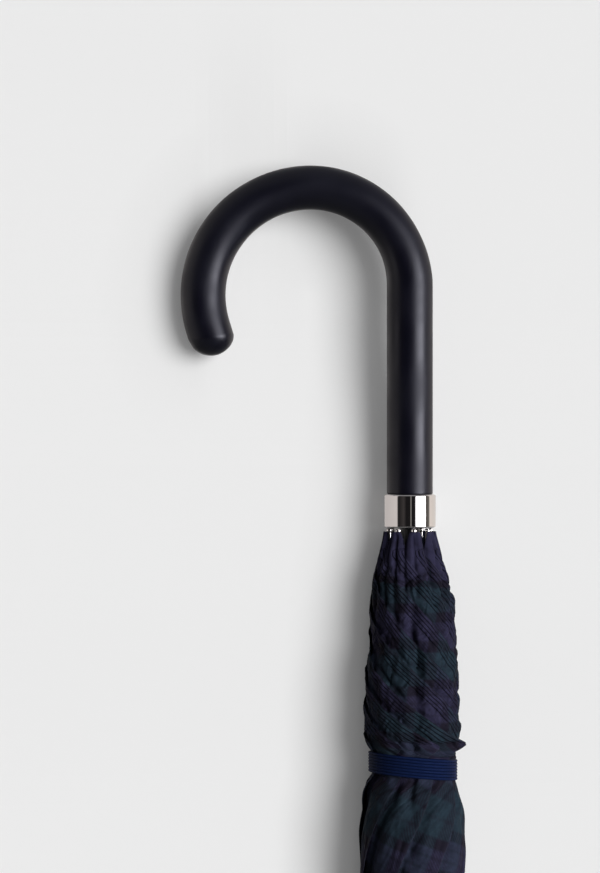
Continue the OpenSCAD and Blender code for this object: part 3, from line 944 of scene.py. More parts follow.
@dataclass
class Collar:
    """Polished ferrule between handle and cloth: a turned ring with rounded rims and a recess below."""

    finishes: Finishes
    wall: float = 1.8 * MM
    top_rim: float = 1.1 * MM
    low_rim: float = 0.8 * MM
    recess: float = 5 * MM
    web_gap: float = 7.1 * MM
    sides: int = 144

    def profile(self) -> np.ndarray:
        """Closed outline of the ring, with each outer rim as a quarter circle.

        Returns:
            Radius and height of each point.
        """
        low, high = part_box("collar")
        r, z0, z1 = high.x, low.z, high.z
        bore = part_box("shaft")[1].x + 0.05 * MM
        web_low, web_top = z0 + self.recess, z1 - self.web_gap
        arc = np.linspace(0.0, math.pi / 2, 9)
        lower = np.stack([r - self.low_rim * (1 - np.sin(arc)), z0 + self.low_rim * (1 - np.cos(arc))], axis=-1)
        upper = np.stack([r - self.top_rim * (1 - np.cos(arc)), z1 - self.top_rim * (1 - np.sin(arc))], axis=-1)
        inner = r - self.wall
        head = [[bore, web_low], [inner, web_low], [inner, z0 + 0.3 * MM], [inner + 0.3 * MM, z0]]
        tail = [[inner + 0.2 * MM, z1], [inner, z1 - 0.2 * MM], [inner, web_top], [bore, web_top]]
        return np.concatenate([head, lower, upper, tail])

    def build(self) -> bpy.types.Object:
        """Turns the outline about the shaft's axis and dresses the collar.

        Returns:
            The collar.
        """
        outline = self.profile()
        turn = ring_angles(self.sides)
        x = outline[:, 0, None] * np.cos(turn)
        y = outline[:, 0, None] * np.sin(turn)
        z = np.broadcast_to(outline[:, 1, None], x.shape)
        faces = Shape.grid_faces(len(outline), self.sides, True, True)
        made = Shape.piece("metal_collar", np.stack([x, y, z], axis=-1), faces, self.finishes.chrome, sharp=50.0)
        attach(made, Body.STICK.value)
        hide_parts("collar")
        return made


@dataclass
class WrappedCanopy:
    """Eight cloth flaps wound round the folded ribs, each with the plain gore between two ribs.

    A flap starts beside its own rib and winds outwards over its neighbours. Its free edge is a pressed fold
    below the strap and the sewn hem above it.
    """

    sizes: FoldedFrame
    finishes: Finishes
    # Places along the bundle, as distances from the crown's hinge circle.
    low_s: float = 2 * MM
    top_s: float = 598.3 * MM
    corner_s: float = 491 * MM
    strap_s: float = STRAP_S
    tie_low: float = 474 * MM
    tie_top: float = 486 * MM
    inset_band: tuple[float, float] = (545 * MM, 585 * MM)
    arch_band: tuple[float, float] = (574 * MM, 590 * MM)
    bound_band: tuple[float, float] = (572 * MM, 590 * MM)
    # How the flaps are wound: radii beside their ribs and angles to their free edges.
    core: float = 13.8 * MM
    hem_core: float = 12.75 * MM
    cloth_gap: float = 0.5 * MM
    wind_low: float = math.radians(60.0)
    wind_high: float = math.radians(290.0)
    lobe_half: float = math.radians(25.0)
    lean: float = 1.8 * MM
    wind_power: float = 0.45
    pleat_power: float = 0.6
    pleat_crease: float = 0.42
    # Depths and heights of folds, grooves (below the strap, above it), waves and edges.
    groove_deep: tuple[float, float] = (2.6 * MM, 0.9 * MM)
    groove_wide: tuple[float, float] = (math.radians(9.5), math.radians(6.0))
    flute: float = 0.3 * MM
    tuck: float = 0.85 * MM
    valley_deep: float = 4.4 * MM
    valley_angle: float = math.radians(271.0)
    crease: float = 0.9 * MM
    tip_flute: float = 1.5 * MM
    shared_sway: float = 0.95 * MM
    own_sway: float = 0.4 * MM
    hem_thick: float = 0.3 * MM
    fold_roll: float = 0.45 * MM
    no_edge: float = 60 * MM
    # The check: pitches, and its turn and its places on the flaps in shares of a repeat.
    check: float = CHECK
    low_check: float = 44 * MM
    low_turn: float = math.radians(20.0)
    low_cut: tuple[float, float] = (0.1, 0.21)
    files: tuple[float, ...] = (0.33, 0.25, 0.29, 0.04, 0.12, 0.29, 0.0, 0.25)
    rows: tuple[float, ...] = (0.46, 0.33, 0.04, 0.12, 0.08, -0.04, -0.08, -0.12)
    # Columns of a flap, crowded towards its free edge, and the gores.
    columns: int = 96
    crowding: float = 1.7
    seam_r: float = 12.85 * MM
    gore_gap: float = 0.22 * MM
    gore_scoop: float = 14 * MM
    # In millimetres: how far the left stands out, and the radius of the bundle, by distance from the crown.
    full_angle: float = math.radians(185.0)
    full: Knots = (
        (380.0, 0.0), (425.0, 1.1), (458.0, 1.0), (466.0, 2.2), (471.0, 2.2), (474.5, 0.0), (486.0, 0.0), (489.0, 1.8),
        (500.0, 1.1), (532.0, 1.3), (538.0, 0.0), (550.0, 0.3), (556.0, 1.4), (575.0, 1.4))
    outline: Knots = (
        (0.0, 14.6), (30.0, 15.6), (60.0, 17.2), (150.0, 21.5), (250.0, 25.6), (350.0, 27.2), (424.0, 26.6),
        (445.0, 26.4), (458.0, 25.2), (468.0, 22.8), (472.0, 21.4), (486.0, 21.4), (490.0, 23.0), (496.0, 24.0),
        (511.0, 23.8), (537.0, 22.8), (553.0, 21.9), (562.0, 21.2), (574.5, 19.8), (583.0, 17.7), (590.0, 15.7),
        (595.0, 14.3), (598.3, 13.5))

    def levels(self) -> np.ndarray:
        """Spaces the flap's rows, closer together towards the hem.

        Returns:
            Distances from the crown.
        """
        return np.concatenate([
            np.linspace(self.low_s, 420 * MM, 72, endpoint=False),
            np.linspace(420 * MM, 560 * MM, 80, endpoint=False),
            np.linspace(560 * MM, self.top_s, 42)])

    def out_radius(self, s: np.ndarray) -> np.ndarray:
        """Outer radius of the bundle: the outline's points joined and rounded by a 7 mm window.

        Args:
            s: Distances from the crown.

        Returns:
            Radii.
        """
        fine = np.arange(-10.0, 611.0, 0.5) * MM
        knots = np.array(self.outline) * MM
        window = np.hanning(15)
        padded = np.pad(np.interp(fine, knots[:, 0], knots[:, 1]), 7, mode="edge")
        return np.interp(s, fine, np.convolve(padded, window / window.sum(), mode="valid"))

    def core_radius(self, s: np.ndarray) -> np.ndarray:
        """Radius at which a flap starts, drawn in at the hem and at the apex."""
        inner = self.core + (self.hem_core - self.core) * smoothstep(580 * MM, self.top_s, s)
        return np.minimum(inner, self.out_radius(s) - 0.8 * MM)

    def lobe(self, s: np.ndarray) -> np.ndarray:
        """Half width of the pleat at a rib tip as an angle, rounded off at the hem."""
        share = np.clip((s - 581 * MM) / (self.top_s - 581 * MM), 0.0, 1.0)
        return self.lobe_half * np.sqrt(1.0 - 0.8 * share ** 2)

    def end_turn(self, s: np.ndarray, number: int) -> np.ndarray:
        """Angle from a flap's rib to its free edge.

        It grows with a power of s, jumps on under the strap to the corner above it and falls back to the rib tip
        along the hem.

        Args:
            s: Distances from the crown.
            number: Flap number, counted from 1.

        Returns:
            Angles in radians.
        """
        spread = self.wind_high - self.wind_low
        rise = self.wind_low + spread * (0.85 * np.clip(s / self.corner_s, 0.0, 1.0) ** 2.6
                                         + 0.15 * smoothstep(self.tie_low, self.tie_top + 4 * MM, s))
        share = np.clip((s - self.corner_s) / (self.top_s - self.corner_s), 0.0, 1.0)
        hem = self.wind_high * (1.0 - share ** 0.8)
        phase = 1.7 * number
        wander = np.radians(2.4) * np.sin(s / (13 * MM) + phase)
        wander = wander + np.radians(2.0) * np.sin(s / (31 * MM) + 2 * phase)
        wander *= smoothstep(0.0, 60 * MM, s) * (1.0 - smoothstep(575 * MM, 592 * MM, s))
        edge = np.where(s < self.corner_s, rise, hem) + wander
        return np.maximum(edge, self.lobe(s))

    def ripple(self, angle: np.ndarray, s: np.ndarray, seed: int, count: int) -> np.ndarray:
        """Slow waves round and along the bundle: a sum of sines with whole turns, from -1 to 1.

        Args:
            angle: Angles about the shaft.
            s: Distances from the crown.
            seed: Seed of the waves.
            count: Number of waves.

        Returns:
            Heights.
        """
        draw = np.random.default_rng(seed)
        total = np.zeros(np.broadcast(angle, s).shape)
        for _ in range(count):
            turns, pitch = draw.integers(3, 13), draw.uniform(14, 48) * MM
            total += np.sin(turns * angle + draw.choice([1, -1]) * FULL_TURN * s / pitch + draw.uniform(0, 6.28))
        return total / count

    def gathers(self, angle: np.ndarray, s: np.ndarray) -> np.ndarray:
        """Folds that all flaps share: flutes and tucks at the strap, and a valley and creases above it.

        Flutes are a cosine round the bundle, tucks narrow bells. The valley is a bell whose course wanders and
        whose right wall is the steeper one. Creases lie where a sum of waves is near 0.

        Args:
            angle: Angles about the shaft.
            s: Distances from the crown.

        Returns:
            Heights.
        """
        near = bell((s - self.strap_s) / (15 * MM))
        flutes = self.flute * np.cos(17 * angle + 1.3 * np.sin(3 * angle)) * near
        draw = np.random.default_rng(11)
        places = np.concatenate([[self.valley_angle], draw.uniform(0, FULL_TURN, 7)])
        gap = wrapped(angle[..., None] - places)
        reach = bell((s - self.strap_s) / (24 * MM))
        tucks = bell(gap / math.radians(4.2)).sum(axis=-1)
        course = np.interp(s, np.array([455, 500, 525, 575]) * MM, np.radians([-4.5, 3.0, 5.5, -5.5]))
        aside = gap[..., 0] - course + math.radians(2.0) * np.sin(s / (4.3 * MM))
        front = bell((s - 515 * MM) / (59 * MM), 6)
        front = front * (0.72 + 0.2 * np.sin(s / (2.1 * MM)) + 0.12 * np.sin(s / (3.7 * MM) + 1.0))
        wall = np.where(aside > 0.0, math.radians(3.0), math.radians(7.0))
        valley = bell(aside / wall) - 0.3 * bell(aside / math.radians(7.0) + 2.0)
        crease = (1.0 - np.abs(self.ripple(angle, s, 17, 4))) ** 5 * smoothstep(488 * MM, 500 * MM, s)
        return flutes - self.tuck * tucks * reach - self.valley_deep * valley * front - self.crease * crease

    def grooves(self, angle: np.ndarray, s: np.ndarray, number: int) -> np.ndarray:
        """Depth of the grooves that a flap follows beside the free edges of the flaps over it.

        Args:
            angle: Angles about the shaft.
            s: Distances from the crown.
            number: Flap number, counted from 1.

        Returns:
            Depths.
        """
        others = [n for n in range(1, RIB_COUNT + 1) if n != number]
        edges = np.stack([self.sizes.rib_angle(n) + self.end_turn(s, n) for n in others], axis=-1)
        gap = wrapped(angle[..., None] - edges - math.radians(2.0))
        tied = smoothstep(470 * MM, 490 * MM, s)
        deep, wide = (low + (high - low) * tied for low, high in (self.groove_deep, self.groove_wide))
        return deep * bell(gap / wide[..., None]).sum(axis=-1)

    def fullness(self, angle: np.ndarray, s: np.ndarray) -> np.ndarray:
        """How far the bundle stands out at its left: points joined along it, times a wide bell round it."""
        aside, knots = wrapped(angle - self.full_angle), np.array(self.full) * MM
        return np.interp(s, knots[:, 0], knots[:, 1]) * bell(aside, 4)

    def tip_flutes(self, angle: np.ndarray, s: np.ndarray) -> np.ndarray:
        """Depth of the narrow folds near the rib tips: the cube of a raised cosine, uneven round the bundle."""
        tips = smoothstep(548 * MM, 572 * MM, s) * (1.0 - smoothstep(594 * MM, 598 * MM, s))
        return self.tip_flute * (0.5 + 0.5 * np.cos(18 * angle + 1.4 * np.sin(3 * angle))) ** 3 * tips

    def edge_values(
        self, s: np.ndarray, edge: np.ndarray, across: np.ndarray, rise: np.ndarray
    ) -> dict[str, np.ndarray]:
        """Distances that the cloth's material reads.

        Args:
            s: Distances from the crown.
            edge: Lengths round the bundle to the free edge.
            across: Distances square to the free edge.
            rise: How far the free edge goes round for its way along the bundle.

        Returns:
            Distances from the hem, from the fold and along the hem, by name.
        """
        stretch = np.sqrt(1.0 + rise ** 2)
        along = np.broadcast_to(np.cumsum(np.gradient(s[:, 0])[:, None] * stretch[:, -1:], axis=0), edge.shape)
        sewn = s > self.corner_s - 1 * MM
        return {
            "hem_distance": np.where(sewn, across, self.no_edge) + smoothstep(589 * MM, 596 * MM, s) * self.no_edge,
            "fold_distance": np.where(sewn, self.no_edge, across),
            "hem_along": along + edge * np.abs(rise) / stretch,
        }

    def flap_grid(self, number: int) -> tuple[np.ndarray, np.ndarray, np.ndarray, dict[str, np.ndarray]]:
        """Points, pattern places and edge distances of one flap.

        The radius grows from the core to the bundle's outline as the 0.45th power of the share of the winding.
        At the rib tips it turns into an arch with a crease, so that each tip carries its own pleat. Folds,
        grooves, fullness and waves are added to it, then the thicker hem, the rolled fold and the lifted corners.
        The inner face lies a cloth gap below the outer one, closing to nothing at the free edge.

        Args:
            number: Flap number, counted from 1.

        Returns:
            Points of the outer and of the inner face, pattern places, and named distances.
        """
        s = self.levels()[:, None]
        t = 1.0 - (1.0 - np.linspace(0.0, 1.0, self.columns)[None, :]) ** self.crowding
        start, end = -self.lobe(s) * smoothstep(*self.inset_band, s), self.end_turn(s, number)
        slope = np.gradient(end[:, 0], s[:, 0])[:, None]
        turn = start + (end - start) * t
        angle = self.sizes.rib_angle(number) + turn
        core, out = self.core_radius(s), self.out_radius(s)
        arch = smoothstep(*self.arch_band, s)
        winding, pleat = t ** self.wind_power, np.sin(math.pi * np.clip(t, 0.0, 1.0)) ** self.pleat_power
        pleat = pleat * (1.0 - self.pleat_crease * bell((t - 0.55) / 0.1))
        radius = core + (out - core) * ((1 - arch) * winding + arch * pleat)
        edge = (end - turn) * radius
        across = edge / np.sqrt(1.0 + (radius * slope) ** 2)
        above = smoothstep(self.corner_s - 3 * MM, self.corner_s + 3 * MM, s)
        free = 1.0 - smoothstep(*self.bound_band, s)
        room = np.clip((out - core) / (9 * MM), 0.0, 1.0)
        radius = radius + self.gathers(angle, s) * room * (1 - arch)
        radius = radius - self.grooves(angle, s, number) * room * free
        radius = radius + self.fullness(angle, s) * room * free - self.tip_flutes(angle, s)
        radius = radius + self.shared_sway * self.ripple(angle, s, 3, 8) * room
        radius = radius + self.own_sway * self.ripple(angle, s, 40 + number, 5) * room * np.sqrt(t)
        radius = np.maximum(radius, np.minimum(core, radius + 0.5 * MM))
        hem_band = self.hem_thick * (1 - smoothstep(5.6 * MM, 6.8 * MM, across)) * above * free
        fold_roll = self.fold_roll * bell(across / (2.6 * MM)) * (1 - above) * room
        radius = radius + hem_band + fold_roll
        for lift, height, reach in self.lifts(number):
            radius = radius + lift * bell(edge / (7 * MM)) * bell((s - height) / reach)
        closing = np.sqrt(1 - (1 - np.clip(edge / (0.7 * MM), 0.02, 1.0)) ** 2)
        gap = self.cloth_gap * np.clip(room, 0.35, 1.0) * closing
        outer, inner = (self.place(angle, r, s, t) for r in (radius, radius - gap))
        return outer, inner, self.pattern(turn * out, s, number), self.edge_values(s, edge, across, radius * slope)

    def pattern(self, u: np.ndarray, s: np.ndarray, number: int) -> np.ndarray:
        """Places in the check: turned below the strap, gathered under it, along the rib above it.

        Towards the rib tips the places are drawn together to the middle of the nearest navy block.

        Args:
            u: Lengths round the bundle from the flap's rib.
            s: Distances from the crown.
            number: Flap number, counted from 1.

        Returns:
            Places across and along the check.
        """
        cos, sin = math.cos(self.low_turn), math.sin(self.low_turn)
        low = np.stack([u * cos - s * sin, u * sin + s * cos], axis=-1) / self.low_check - np.array(self.low_cut)
        high = np.stack([u, np.broadcast_to(s, u.shape)], axis=-1) / self.check
        high = high - np.array([self.files[number - 1], self.rows[number - 1]])
        places = low + (high - low) * smoothstep(self.tie_low, self.tie_top, s)[..., None]
        drawn_in = 0.6 * smoothstep(567 * MM, 579 * MM, s)[..., None]
        return self.check * (places + drawn_in * (np.round(places - 0.69) + 0.69 - places))

    def lifts(self, number: int) -> list[tuple[float, float, float]]:
        """Where a flap's edge stands off the bundle.

        The corner above the strap does so most at the right of the front, and one hem at the left of it.

        Args:
            number: Flap number, counted from 1.

        Returns:
            Lift, distance from the crown and reach along the bundle of each place.
        """
        corner = self.corner_s + 0.5 * MM
        places = {2: [(5.0 * MM, corner, 4.2 * MM), (1.6 * MM, 519 * MM, 14 * MM)]}
        return places.get(number, [(0.4 * MM, corner, 6 * MM)])

    def place(self, angle: np.ndarray, radius: np.ndarray, s: np.ndarray, t: np.ndarray) -> np.ndarray:
        """Points of the cloth; the outer layers lean a little to +X.

        Args:
            angle: Angles about the shaft.
            radius: Radii.
            s: Distances from the crown.
            t: Share of the flap's width, from its rib to its free edge.

        Returns:
            The points.
        """
        side = self.lean * t * (1.0 - smoothstep(560 * MM, 594 * MM, s)) * smoothstep(0.0, 120 * MM, s)
        x = radius * np.cos(angle) + side
        y = radius * np.sin(angle)
        return np.stack([x, y, np.broadcast_to(self.sizes.crown_z + s, x.shape)], axis=-1)

    def build_flap(self, number: int) -> bpy.types.Object:
        """Builds one wound flap, which rides on the stick.

        Args:
            number: Flap number, counted from 1.

        Returns:
            The flap.
        """
        outer, inner, places, values = self.flap_grid(number)
        made = Shape.sleeve(f"canopy_flap_{number}", outer, inner, self.finishes.cloth, places, values, sharp=75.0)
        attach(made, Body.STICK.value)
        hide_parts(f"canopy_panel_{number}")
        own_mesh(made)
        return made

    def build_gore(self, number: int) -> bpy.types.Object:
        """Builds the gore between two ribs as a narrow strip, as it lies when closed.

        The strip lies square to the spread hinge's axis. Its columns stand where the soft step of their share
        gives equal angles, so that they would fan out evenly about the hinge.

        Args:
            number: Gore number, counted from 1.

        Returns:
            The gore.
        """
        hinge = FoldedFrame.joint(f"cloth_{number}_spread")
        axis = np.array(hinge["axis"])
        spread = math.radians(hinge["range_deg"][1])
        near_angle = self.sizes.rib_angle(number)
        half_strip = wrapped(math.atan2(-axis[1], -axis[0]) - near_angle)
        near = radial(near_angle, self.seam_r, self.sizes.crown_z)
        far = radial(near_angle + 2 * half_strip, self.seam_r, self.sizes.crown_z)
        share = np.linspace(0.0, 1.0, 25)
        step = np.linspace(0.0, 1.0, 2001)
        column = np.interp(share, step * step * (3 - 2 * step), step)
        reach = self.sizes.rib_length - 3 * MM
        pivot_drop = self.sizes.crown_z - hinge["pos_m"][2]
        fan = share * spread
        hem = (reach + pivot_drop) * math.cos(spread / 2) / np.cos(fan - spread / 2) - pivot_drop
        hem = hem - self.gore_scoop * np.sin(math.pi * share) ** 1.2
        s = self.low_s + (hem - self.low_s)[None, :] * np.linspace(0.0, 1.0, 90)[:, None]
        flat = near + (far - near) * column[None, :, None] + s[..., None] * np.array([0.0, 0.0, 1.0])
        theta = (share - 0.5) * spread
        places = np.stack([s * np.sin(theta), s * np.cos(theta)], axis=-1)
        values = {"hem_distance": hem[None, :] - s, "fold_distance": np.full(s.shape, self.no_edge),
                  "hem_along": s * np.sin(theta)}
        outer = flat - axis * self.gore_gap
        made = Shape.sleeve(f"canopy_gore_{number}", outer, flat, self.finishes.cloth, places, values)
        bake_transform(made)
        return made

    def build(self) -> list[bpy.types.Object]:
        """Builds every flap with its gore.

        Returns:
            The flaps and gores.
        """
        made: list[bpy.types.Object] = []
        for number in range(1, RIB_COUNT + 1):
            flap, gore = self.build_flap(number), self.build_gore(number)
            made += [flap, gore]
        return made


@dataclass
class TieStrap:
    """Ribbed elastic band round the bundle, lapped at the back, a little lower at the right."""

    sizes: FoldedFrame
    finishes: Finishes
    height: float = STRAP_S
    width: float = 10.6 * MM
    inner_r: float = 21.6 * MM
    thick: float = 0.75 * MM
    ridge: float = 0.42 * MM
    ridges: int = 7
    lap: float = 0.9 * MM
    lean: float = 1.55 * MM
    tilt: float = math.radians(5.4)
    pitch: float = math.radians(3.0)
    sides: int = 180

    def profile(self) -> tuple[np.ndarray, np.ndarray, np.ndarray]:
        """Closed outline of the band: a plain inner face and an outer face of round ribs.

        Returns:
            Height above the band's middle, distance from its inner face, and rib height from 0 to 1.
        """
        out = np.linspace(-0.5, 0.5, self.ridges * 8 + 1)
        wave = np.abs(np.sin(math.pi * (out + 0.5) * self.ridges)) ** 0.7
        trim = 1.0 - 0.5 * np.clip((np.abs(out) - 0.47) / 0.03, 0.0, 1.0)
        outer = (self.thick + self.ridge * wave) * trim
        back = np.linspace(0.5, -0.5, 9)[1:-1]
        height = np.concatenate([out, back]) * self.width
        return height, np.concatenate([outer, np.zeros(back.size)]), np.concatenate([wave, np.zeros(back.size)])

    def build(self) -> bpy.types.Object:
        """Sweeps the outline round the bundle, with the lap as a softly raised stretch.

        Returns:
            The strap.
        """
        height, off, wave = self.profile()
        turn = ring_angles(self.sides)
        behind = np.abs(wrapped(turn - math.pi / 2))
        lap = self.lap * (1 - smoothstep(0.20, 0.24, behind))
        body = np.where(off > 0, 1.0, 0.0)
        radius = self.inner_r + off[None, :] + lap[:, None] * body[None, :]
        x = radius * np.cos(turn)[:, None]
        y = radius * np.sin(turn)[:, None]
        z = self.sizes.crown_z + self.height + height[None, :] - x * math.tan(self.tilt) - y * math.tan(self.pitch)
        points = np.stack([x + self.lean, y, z], axis=-1)
        along = np.broadcast_to(turn[:, None] * self.inner_r, x.shape)
        places = np.stack([along, np.broadcast_to(height[None, :], x.shape)], axis=-1)
        values = {"rib_height": np.broadcast_to(wave[None, :], x.shape)}
        faces = Shape.grid_faces(turn.size, height.size, True, True)
        made = Shape.piece("elastic_strap", points, faces, self.finishes.strap, places, values, sharp=60.0)
        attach(made, Body.STRAP_RIB.value)
        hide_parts("tie_strap")
        outward = self.sizes.rib_angle(3)
        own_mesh(made)
        return made


@dataclass
class InnerFrame:
    """Shaft, crown, runner, ribs, stretchers and tip end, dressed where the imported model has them."""

    finishes: Finishes

    def finish_of(self, node: str) -> bpy.types.Material:
        """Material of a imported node, by the longest start of a name that fits it.

        Args:
            node: Name of the node.

        Returns:
            The material.
        """
        kinds = {
            self.finishes.chrome: ("rib_tip", "apex_cap", "ferrule", "runner_band"),
            self.finishes.steel: ("rib_", "stretcher", "crown_wire", "crown_pin", "stop_pin", "catch_pin",
                                  "top_catch", "runner_wire"),
            self.finishes.nylon: ("crown", "runner", "ferrule_foot"),
            self.finishes.tube: ("shaft",),
            self.finishes.felt: ("apex_washer",),
        }
        fits = [(len(start), material) for material, starts in kinds.items()
                for start in starts if node.startswith(start)]
        return max(fits, key=lambda fit: fit[0])[1]

    def dress(self) -> list[str]:
        """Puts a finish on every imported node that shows.

        Returns:
            Names of the dressed nodes.
        """
        shown = [name for name, node in frame["nodes"].items() if not node.hide_render]
        for name in shown:
            mesh = frame["nodes"][name].data
            mesh.materials.clear()
            mesh.materials.append(self.finish_of(name))
        return shown


@dataclass
class Studio:
    """Camera, pale surroundings and soft light from the right."""

    # View: width of a pixel on the umbrella, size and middle of the picture, and the camera's distance.
    pixel: float = 0.511 * MM
    image: tuple[int, int] = (600, 873)
    middle: tuple[float, float] = (-56.1 * MM, -22.6 * MM)
    distance: float = 1.5
    # Pale surroundings: how bright they look, how light they are, and the shares that glow and that come from the sky.
    pale: float = 0.815
    matt: float = 0.6
    glow: float = 0.35
    sky: float = 0.06
    # Card behind the umbrella and floor below it.
    card_half: tuple[float, float] = (0.27, 0.29)
    card_slope: float = 0.14
    card_gap: float = 28.0 * MM
    grip_step: float = 6.5 * MM
    hook_step: float = 4.0 * MM
    # Reach and strength of the contact shadow painted on the card.
    contact_reach: float = 45 * MM
    contact_power: float = 1.15
    floor_half: float = 2.5
    # Light: the key lamp, the share of it from behind, and the soft box that shows in glossy surfaces.
    key_angle: float = math.radians(36.0)
    key_rise: float = math.radians(6.0)
    key_size: float = math.radians(39.0)
    back_share: float = 0.6
    box_light: float = 11.5
    box_tint: float = 1.05

    def camera(self) -> None:
        """Makes a camera that looks along +Y at the photograph's frame."""
        data = bpy.data.cameras.new("camera")
        data.sensor_width = 36.0
        data.lens = data.sensor_width * self.distance / (self.pixel * self.image[1])
        made = bpy.data.objects.new("camera", data)
        made.location = (self.middle[0], -self.distance, self.middle[1])
        made.rotation_euler = (math.pi / 2, 0.0, 0.0)
        bpy.context.scene.collection.objects.link(made)
        bpy.context.scene.camera = made

    def world(self) -> None:
        """Plain pale surroundings; glossy surfaces see a dark camera side and a tall soft box at the right."""
        made = bpy.data.worlds.new("studio")
        bpy.context.scene.world = made
        g = Graph.empty(made)
        parts = g.add("ShaderNodeSeparateXYZ", {0: g.add("ShaderNodeTexCoord").outputs["Generated"]}).outputs
        around = g.math("ARCTAN2", parts[0], g.math("MULTIPLY", parts[1], -1.0))
        share = g.math("MULTIPLY_ADD", around, 1 / FULL_TURN, 0.5)
        dark, dim, grey, line = (0.012, 0.011, 0.012), (0.05, 0.045, 0.045), (0.12, 0.11, 0.1), (0.3, 0.29, 0.28)
        stops = [(0.0, (0.54, 0.51, 0.5)), (0.33, (0.69, 0.65, 0.64)), (0.345, dark), (0.42, dim), (0.45, dark),
                 (0.502, dark), (0.506, line), (0.512, line), (0.516, dark), (0.69, dark), (0.70, grey), (0.75, grey),
                 (0.775, (0.83, 0.76, 0.71)), (1.0, (0.71, 0.69, 0.67))]
        ring = g.ramp(share, stops, "LINEAR")
        levels = ((0.0, 0.0), (0.562, 0.0), (0.575, 0.26), (0.61, 0.55), (0.65, 1.0), (0.69, 1.0), (0.70, 0.0))
        glow = g.ramp(share, [(place, (level,) * 3) for place, level in levels], "LINEAR")
        height = g.math("ABSOLUTE", parts[2])
        box = g.math("MULTIPLY", glow, g.fade(height, 0.02, 0.46, self.box_light, 0.0))
        above = g.mix(g.fade(parts[2], 0.35, 0.9, 0.0, 1.0), ring, (0.3, 0.3, 0.31, 1.0))
        above = g.mix(g.fade(parts[2], -0.9, -0.35, 1.0, 0.0), above, (0.04, 0.04, 0.04, 1.0))
        blue = g.math("MULTIPLY", box, self.box_tint)
        tint = g.add("ShaderNodeCombineColor", {0: box, 1: box, 2: blue}).outputs[0]
        mirror = g.mix(1.0, above, tint, "ADD")
        path = g.add("ShaderNodeLightPath").outputs
        sky = self.sky * self.pale / self.matt
        seen = g.mix(path["Is Glossy Ray"], (sky, sky, sky, 1.0), mirror)
        colour = g.mix(path["Is Camera Ray"], seen, (self.pale, self.pale, self.pale, 1.0))
        shade = g.add("ShaderNodeBackground", {"Color": colour, "Strength": 1.0})
        g.add("ShaderNodeOutputWorld", {"Surface": shade.outputs[0]})

    def lamp(self, name: str, energy: float, turn: float) -> None:
        """Makes a soft sun that only matt surfaces see.

        Args:
            name: Name of the lamp.
            energy: Its strength.
            turn: Its angle about the vertical, from the camera towards +X.
        """
        data = bpy.data.lights.new(name, "SUN")
        data.angle = self.key_size
        data.energy = energy
        made = bpy.data.objects.new(name, data)
        made.rotation_euler = (math.pi / 2 - self.key_rise, 0.0, turn)
        made.visible_glossy = False
        bpy.context.scene.collection.objects.link(made)

    def lamps(self) -> None:
        """Key light from the right of the camera, for the shadow at the left, and a weaker one from behind."""
        facing = (self.card_slope * math.sin(self.key_angle) + math.cos(self.key_angle)) * math.cos(self.key_rise)
        share = (1.0 - self.glow - self.sky) * self.pale / self.matt
        energy = math.pi * share * math.hypot(1.0, self.card_slope) / facing
        self.lamp("key", energy, self.key_angle)
        self.lamp("back", self.back_share * energy, math.pi)

    def pale_surface(self, name: str, card: bool) -> bpy.types.Material:
        """Plain matt pale material that fades out at its rim; a card of it shows only from straight in front.

        Args:
            name: Name of the material.
            card: Whether it is the card behind the umbrella.

        Returns:
            The material.
        """
        made = bpy.data.materials.new(name)
        g = Graph.empty(made)
        tone = (self.matt, self.matt, self.matt, 1.0)
        path = g.add("ShaderNodeLightPath").outputs
        seen = path["Is Camera Ray"]
        if card:
            seen = g.math("MAXIMUM", seen, path["Is Glossy Ray"])
        lift = g.math("MULTIPLY", seen, self.pale * (self.glow if card else 1.0 - self.sky))
        if card:
            # Painted contact shadow: the card's glow is darkened by ambient occlusion where its contact value is high.
            near = g.add("ShaderNodeAmbientOcclusion", {"Distance": self.contact_reach}, samples=8).outputs["AO"]
            power = g.math("MULTIPLY", g.stored("contact"), self.contact_power)
            lift = g.math("MULTIPLY", lift, g.math("POWER", near, power))
        glow = g.add("ShaderNodeEmission", {"Strength": lift}).outputs[0]
        shade = g.add("ShaderNodeBsdfDiffuse", {"Color": tone}).outputs[0]
        shade = g.add("ShaderNodeAddShader", {0: shade, 1: glow}).outputs[0]
        hide = g.math("MAXIMUM", g.stored("rim"), g.add("ShaderNodeNewGeometry").outputs["Backfacing"])
        if card:
            aside = g.fade(g.add("ShaderNodeLayerWeight", {"Blend": 0.5}).outputs["Facing"], 0.06, 0.1, 0.0, 1.0)
            hide = g.math("MAXIMUM", hide, aside)
        clear = g.add("ShaderNodeBsdfTransparent").outputs[0]
        shade = g.add("ShaderNodeMixShader", {0: hide, 1: shade, 2: clear}).outputs[0]
        g.add("ShaderNodeOutputMaterial", {"Surface": shade})
        return made

    def sheet(self, name: str, points: np.ndarray, material: bpy.types.Material, **values: np.ndarray) -> None:
        """Makes a flat sheet of the stage from a grid of points.

        Args:
            name: Name of the sheet.
            points: Grid of points, row by row, facing the side they run round anticlockwise.
            material: Its material.
            values: Named numbers, one for each point.
        """
        mesh = bpy.data.meshes.new(name)
        faces = Shape.grid_faces(*points.shape[:2], False, False)
        mesh.from_pydata(points.reshape(-1, 3), [], faces.tolist())
        Shape.store(mesh, values)
        Shape.link(name, mesh, material)

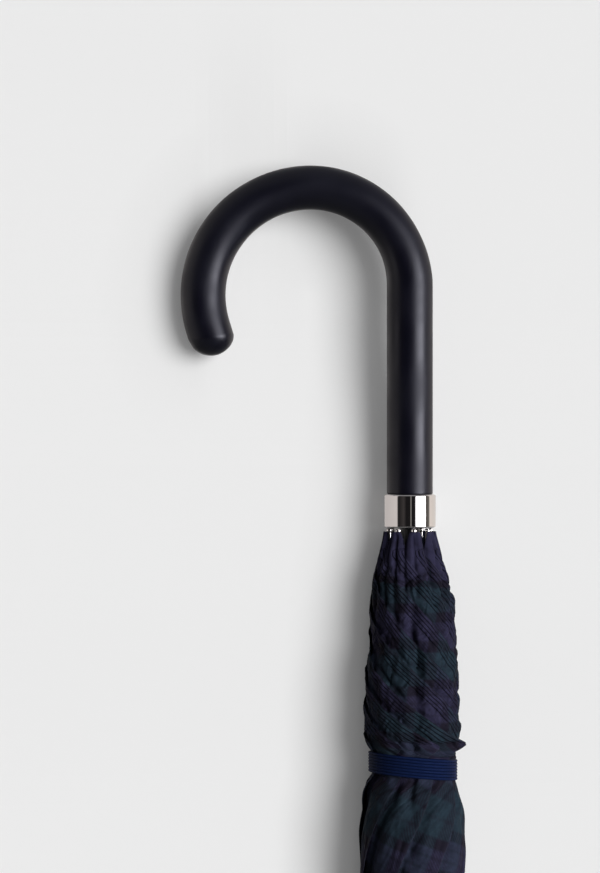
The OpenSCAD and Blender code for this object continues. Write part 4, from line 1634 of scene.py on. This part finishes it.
    def surroundings(self) -> None:
        """Makes the pale card behind the umbrella and the pale floor below the foot.

        The card comes nearer by soft steps at the slim top of the bundle and stands back behind the hook's free
        end. Its contact value says where a painted contact shadow darkens it: at the left, but not inside the hook.
        """
        u, v = np.meshgrid(np.linspace(-1, 1, 81), np.linspace(-1, 1, 81))
        rim = smoothstep(0.82, 1.0, np.maximum(np.abs(u), np.abs(v)))
        x, z = self.middle[0] + self.card_half[0] * u, self.middle[1] + self.card_half[1] * v
        slim = smoothstep(-215 * MM, -95 * MM, z) - smoothstep(-40 * MM, 40 * MM, z)
        hook = (1 - smoothstep(-110 * MM, -60 * MM, x)) * (1 - smoothstep(125 * MM, 220 * MM, z))
        hook = smoothstep(40 * MM, 95 * MM, z) * hook
        away = self.card_gap - self.grip_step * slim + self.hook_step * hook
        card = np.stack([x, away + self.card_slope * x, z], axis=-1)
        grip = smoothstep(-60 * MM, -25 * MM, z) * (1 - smoothstep(-78 * MM, -42 * MM, x))
        beside = (1 - smoothstep(-15 * MM, 10 * MM, x)) * (1 - grip)
        contact = np.maximum(beside, 0.9 * (1 - smoothstep(-112 * MM, -100 * MM, x)))
        self.sheet("pale_card", card, self.pale_surface("pale_card", True), rim=rim, contact=contact)
        floor_z = CAD_BOX[0].z - 1 * MM
        floor = np.stack([self.floor_half * u, self.floor_half * v, np.full_like(u, floor_z)], axis=-1)
        edge = smoothstep(0.5, 1.0, np.hypot(u, v))
        self.sheet("pale_floor", floor, self.pale_surface("pale_floor", False), rim=edge)

    def build(self) -> None:
        """Sets the view and builds camera, world, light and surroundings."""
        bpy.context.scene.view_settings.view_transform = "Standard"
        self.camera()
        self.world()
        self.lamps()
        self.surroundings()


def main() -> None:
    """Builds the studio, then the umbrella from handle to frame."""
    logging.basicConfig(level=logging.INFO, format="%(name)s: %(message)s")
    Studio().build()
    sizes = FoldedFrame.read()
    finishes = Finishes()
    pieces = [CrookHandle(finishes).build(), Collar(finishes).build()]
    pieces += WrappedCanopy(sizes, finishes).build()
    pieces.append(TieStrap(sizes, finishes).build())
    for piece in pieces:
        LOG.info("%s: %d faces", piece.name, len(piece.data.polygons))
    dressed = InnerFrame(finishes).dress()
    LOG.info("%d packed nodes dressed", len(dressed))


if __name__ == "__main__":
    main()
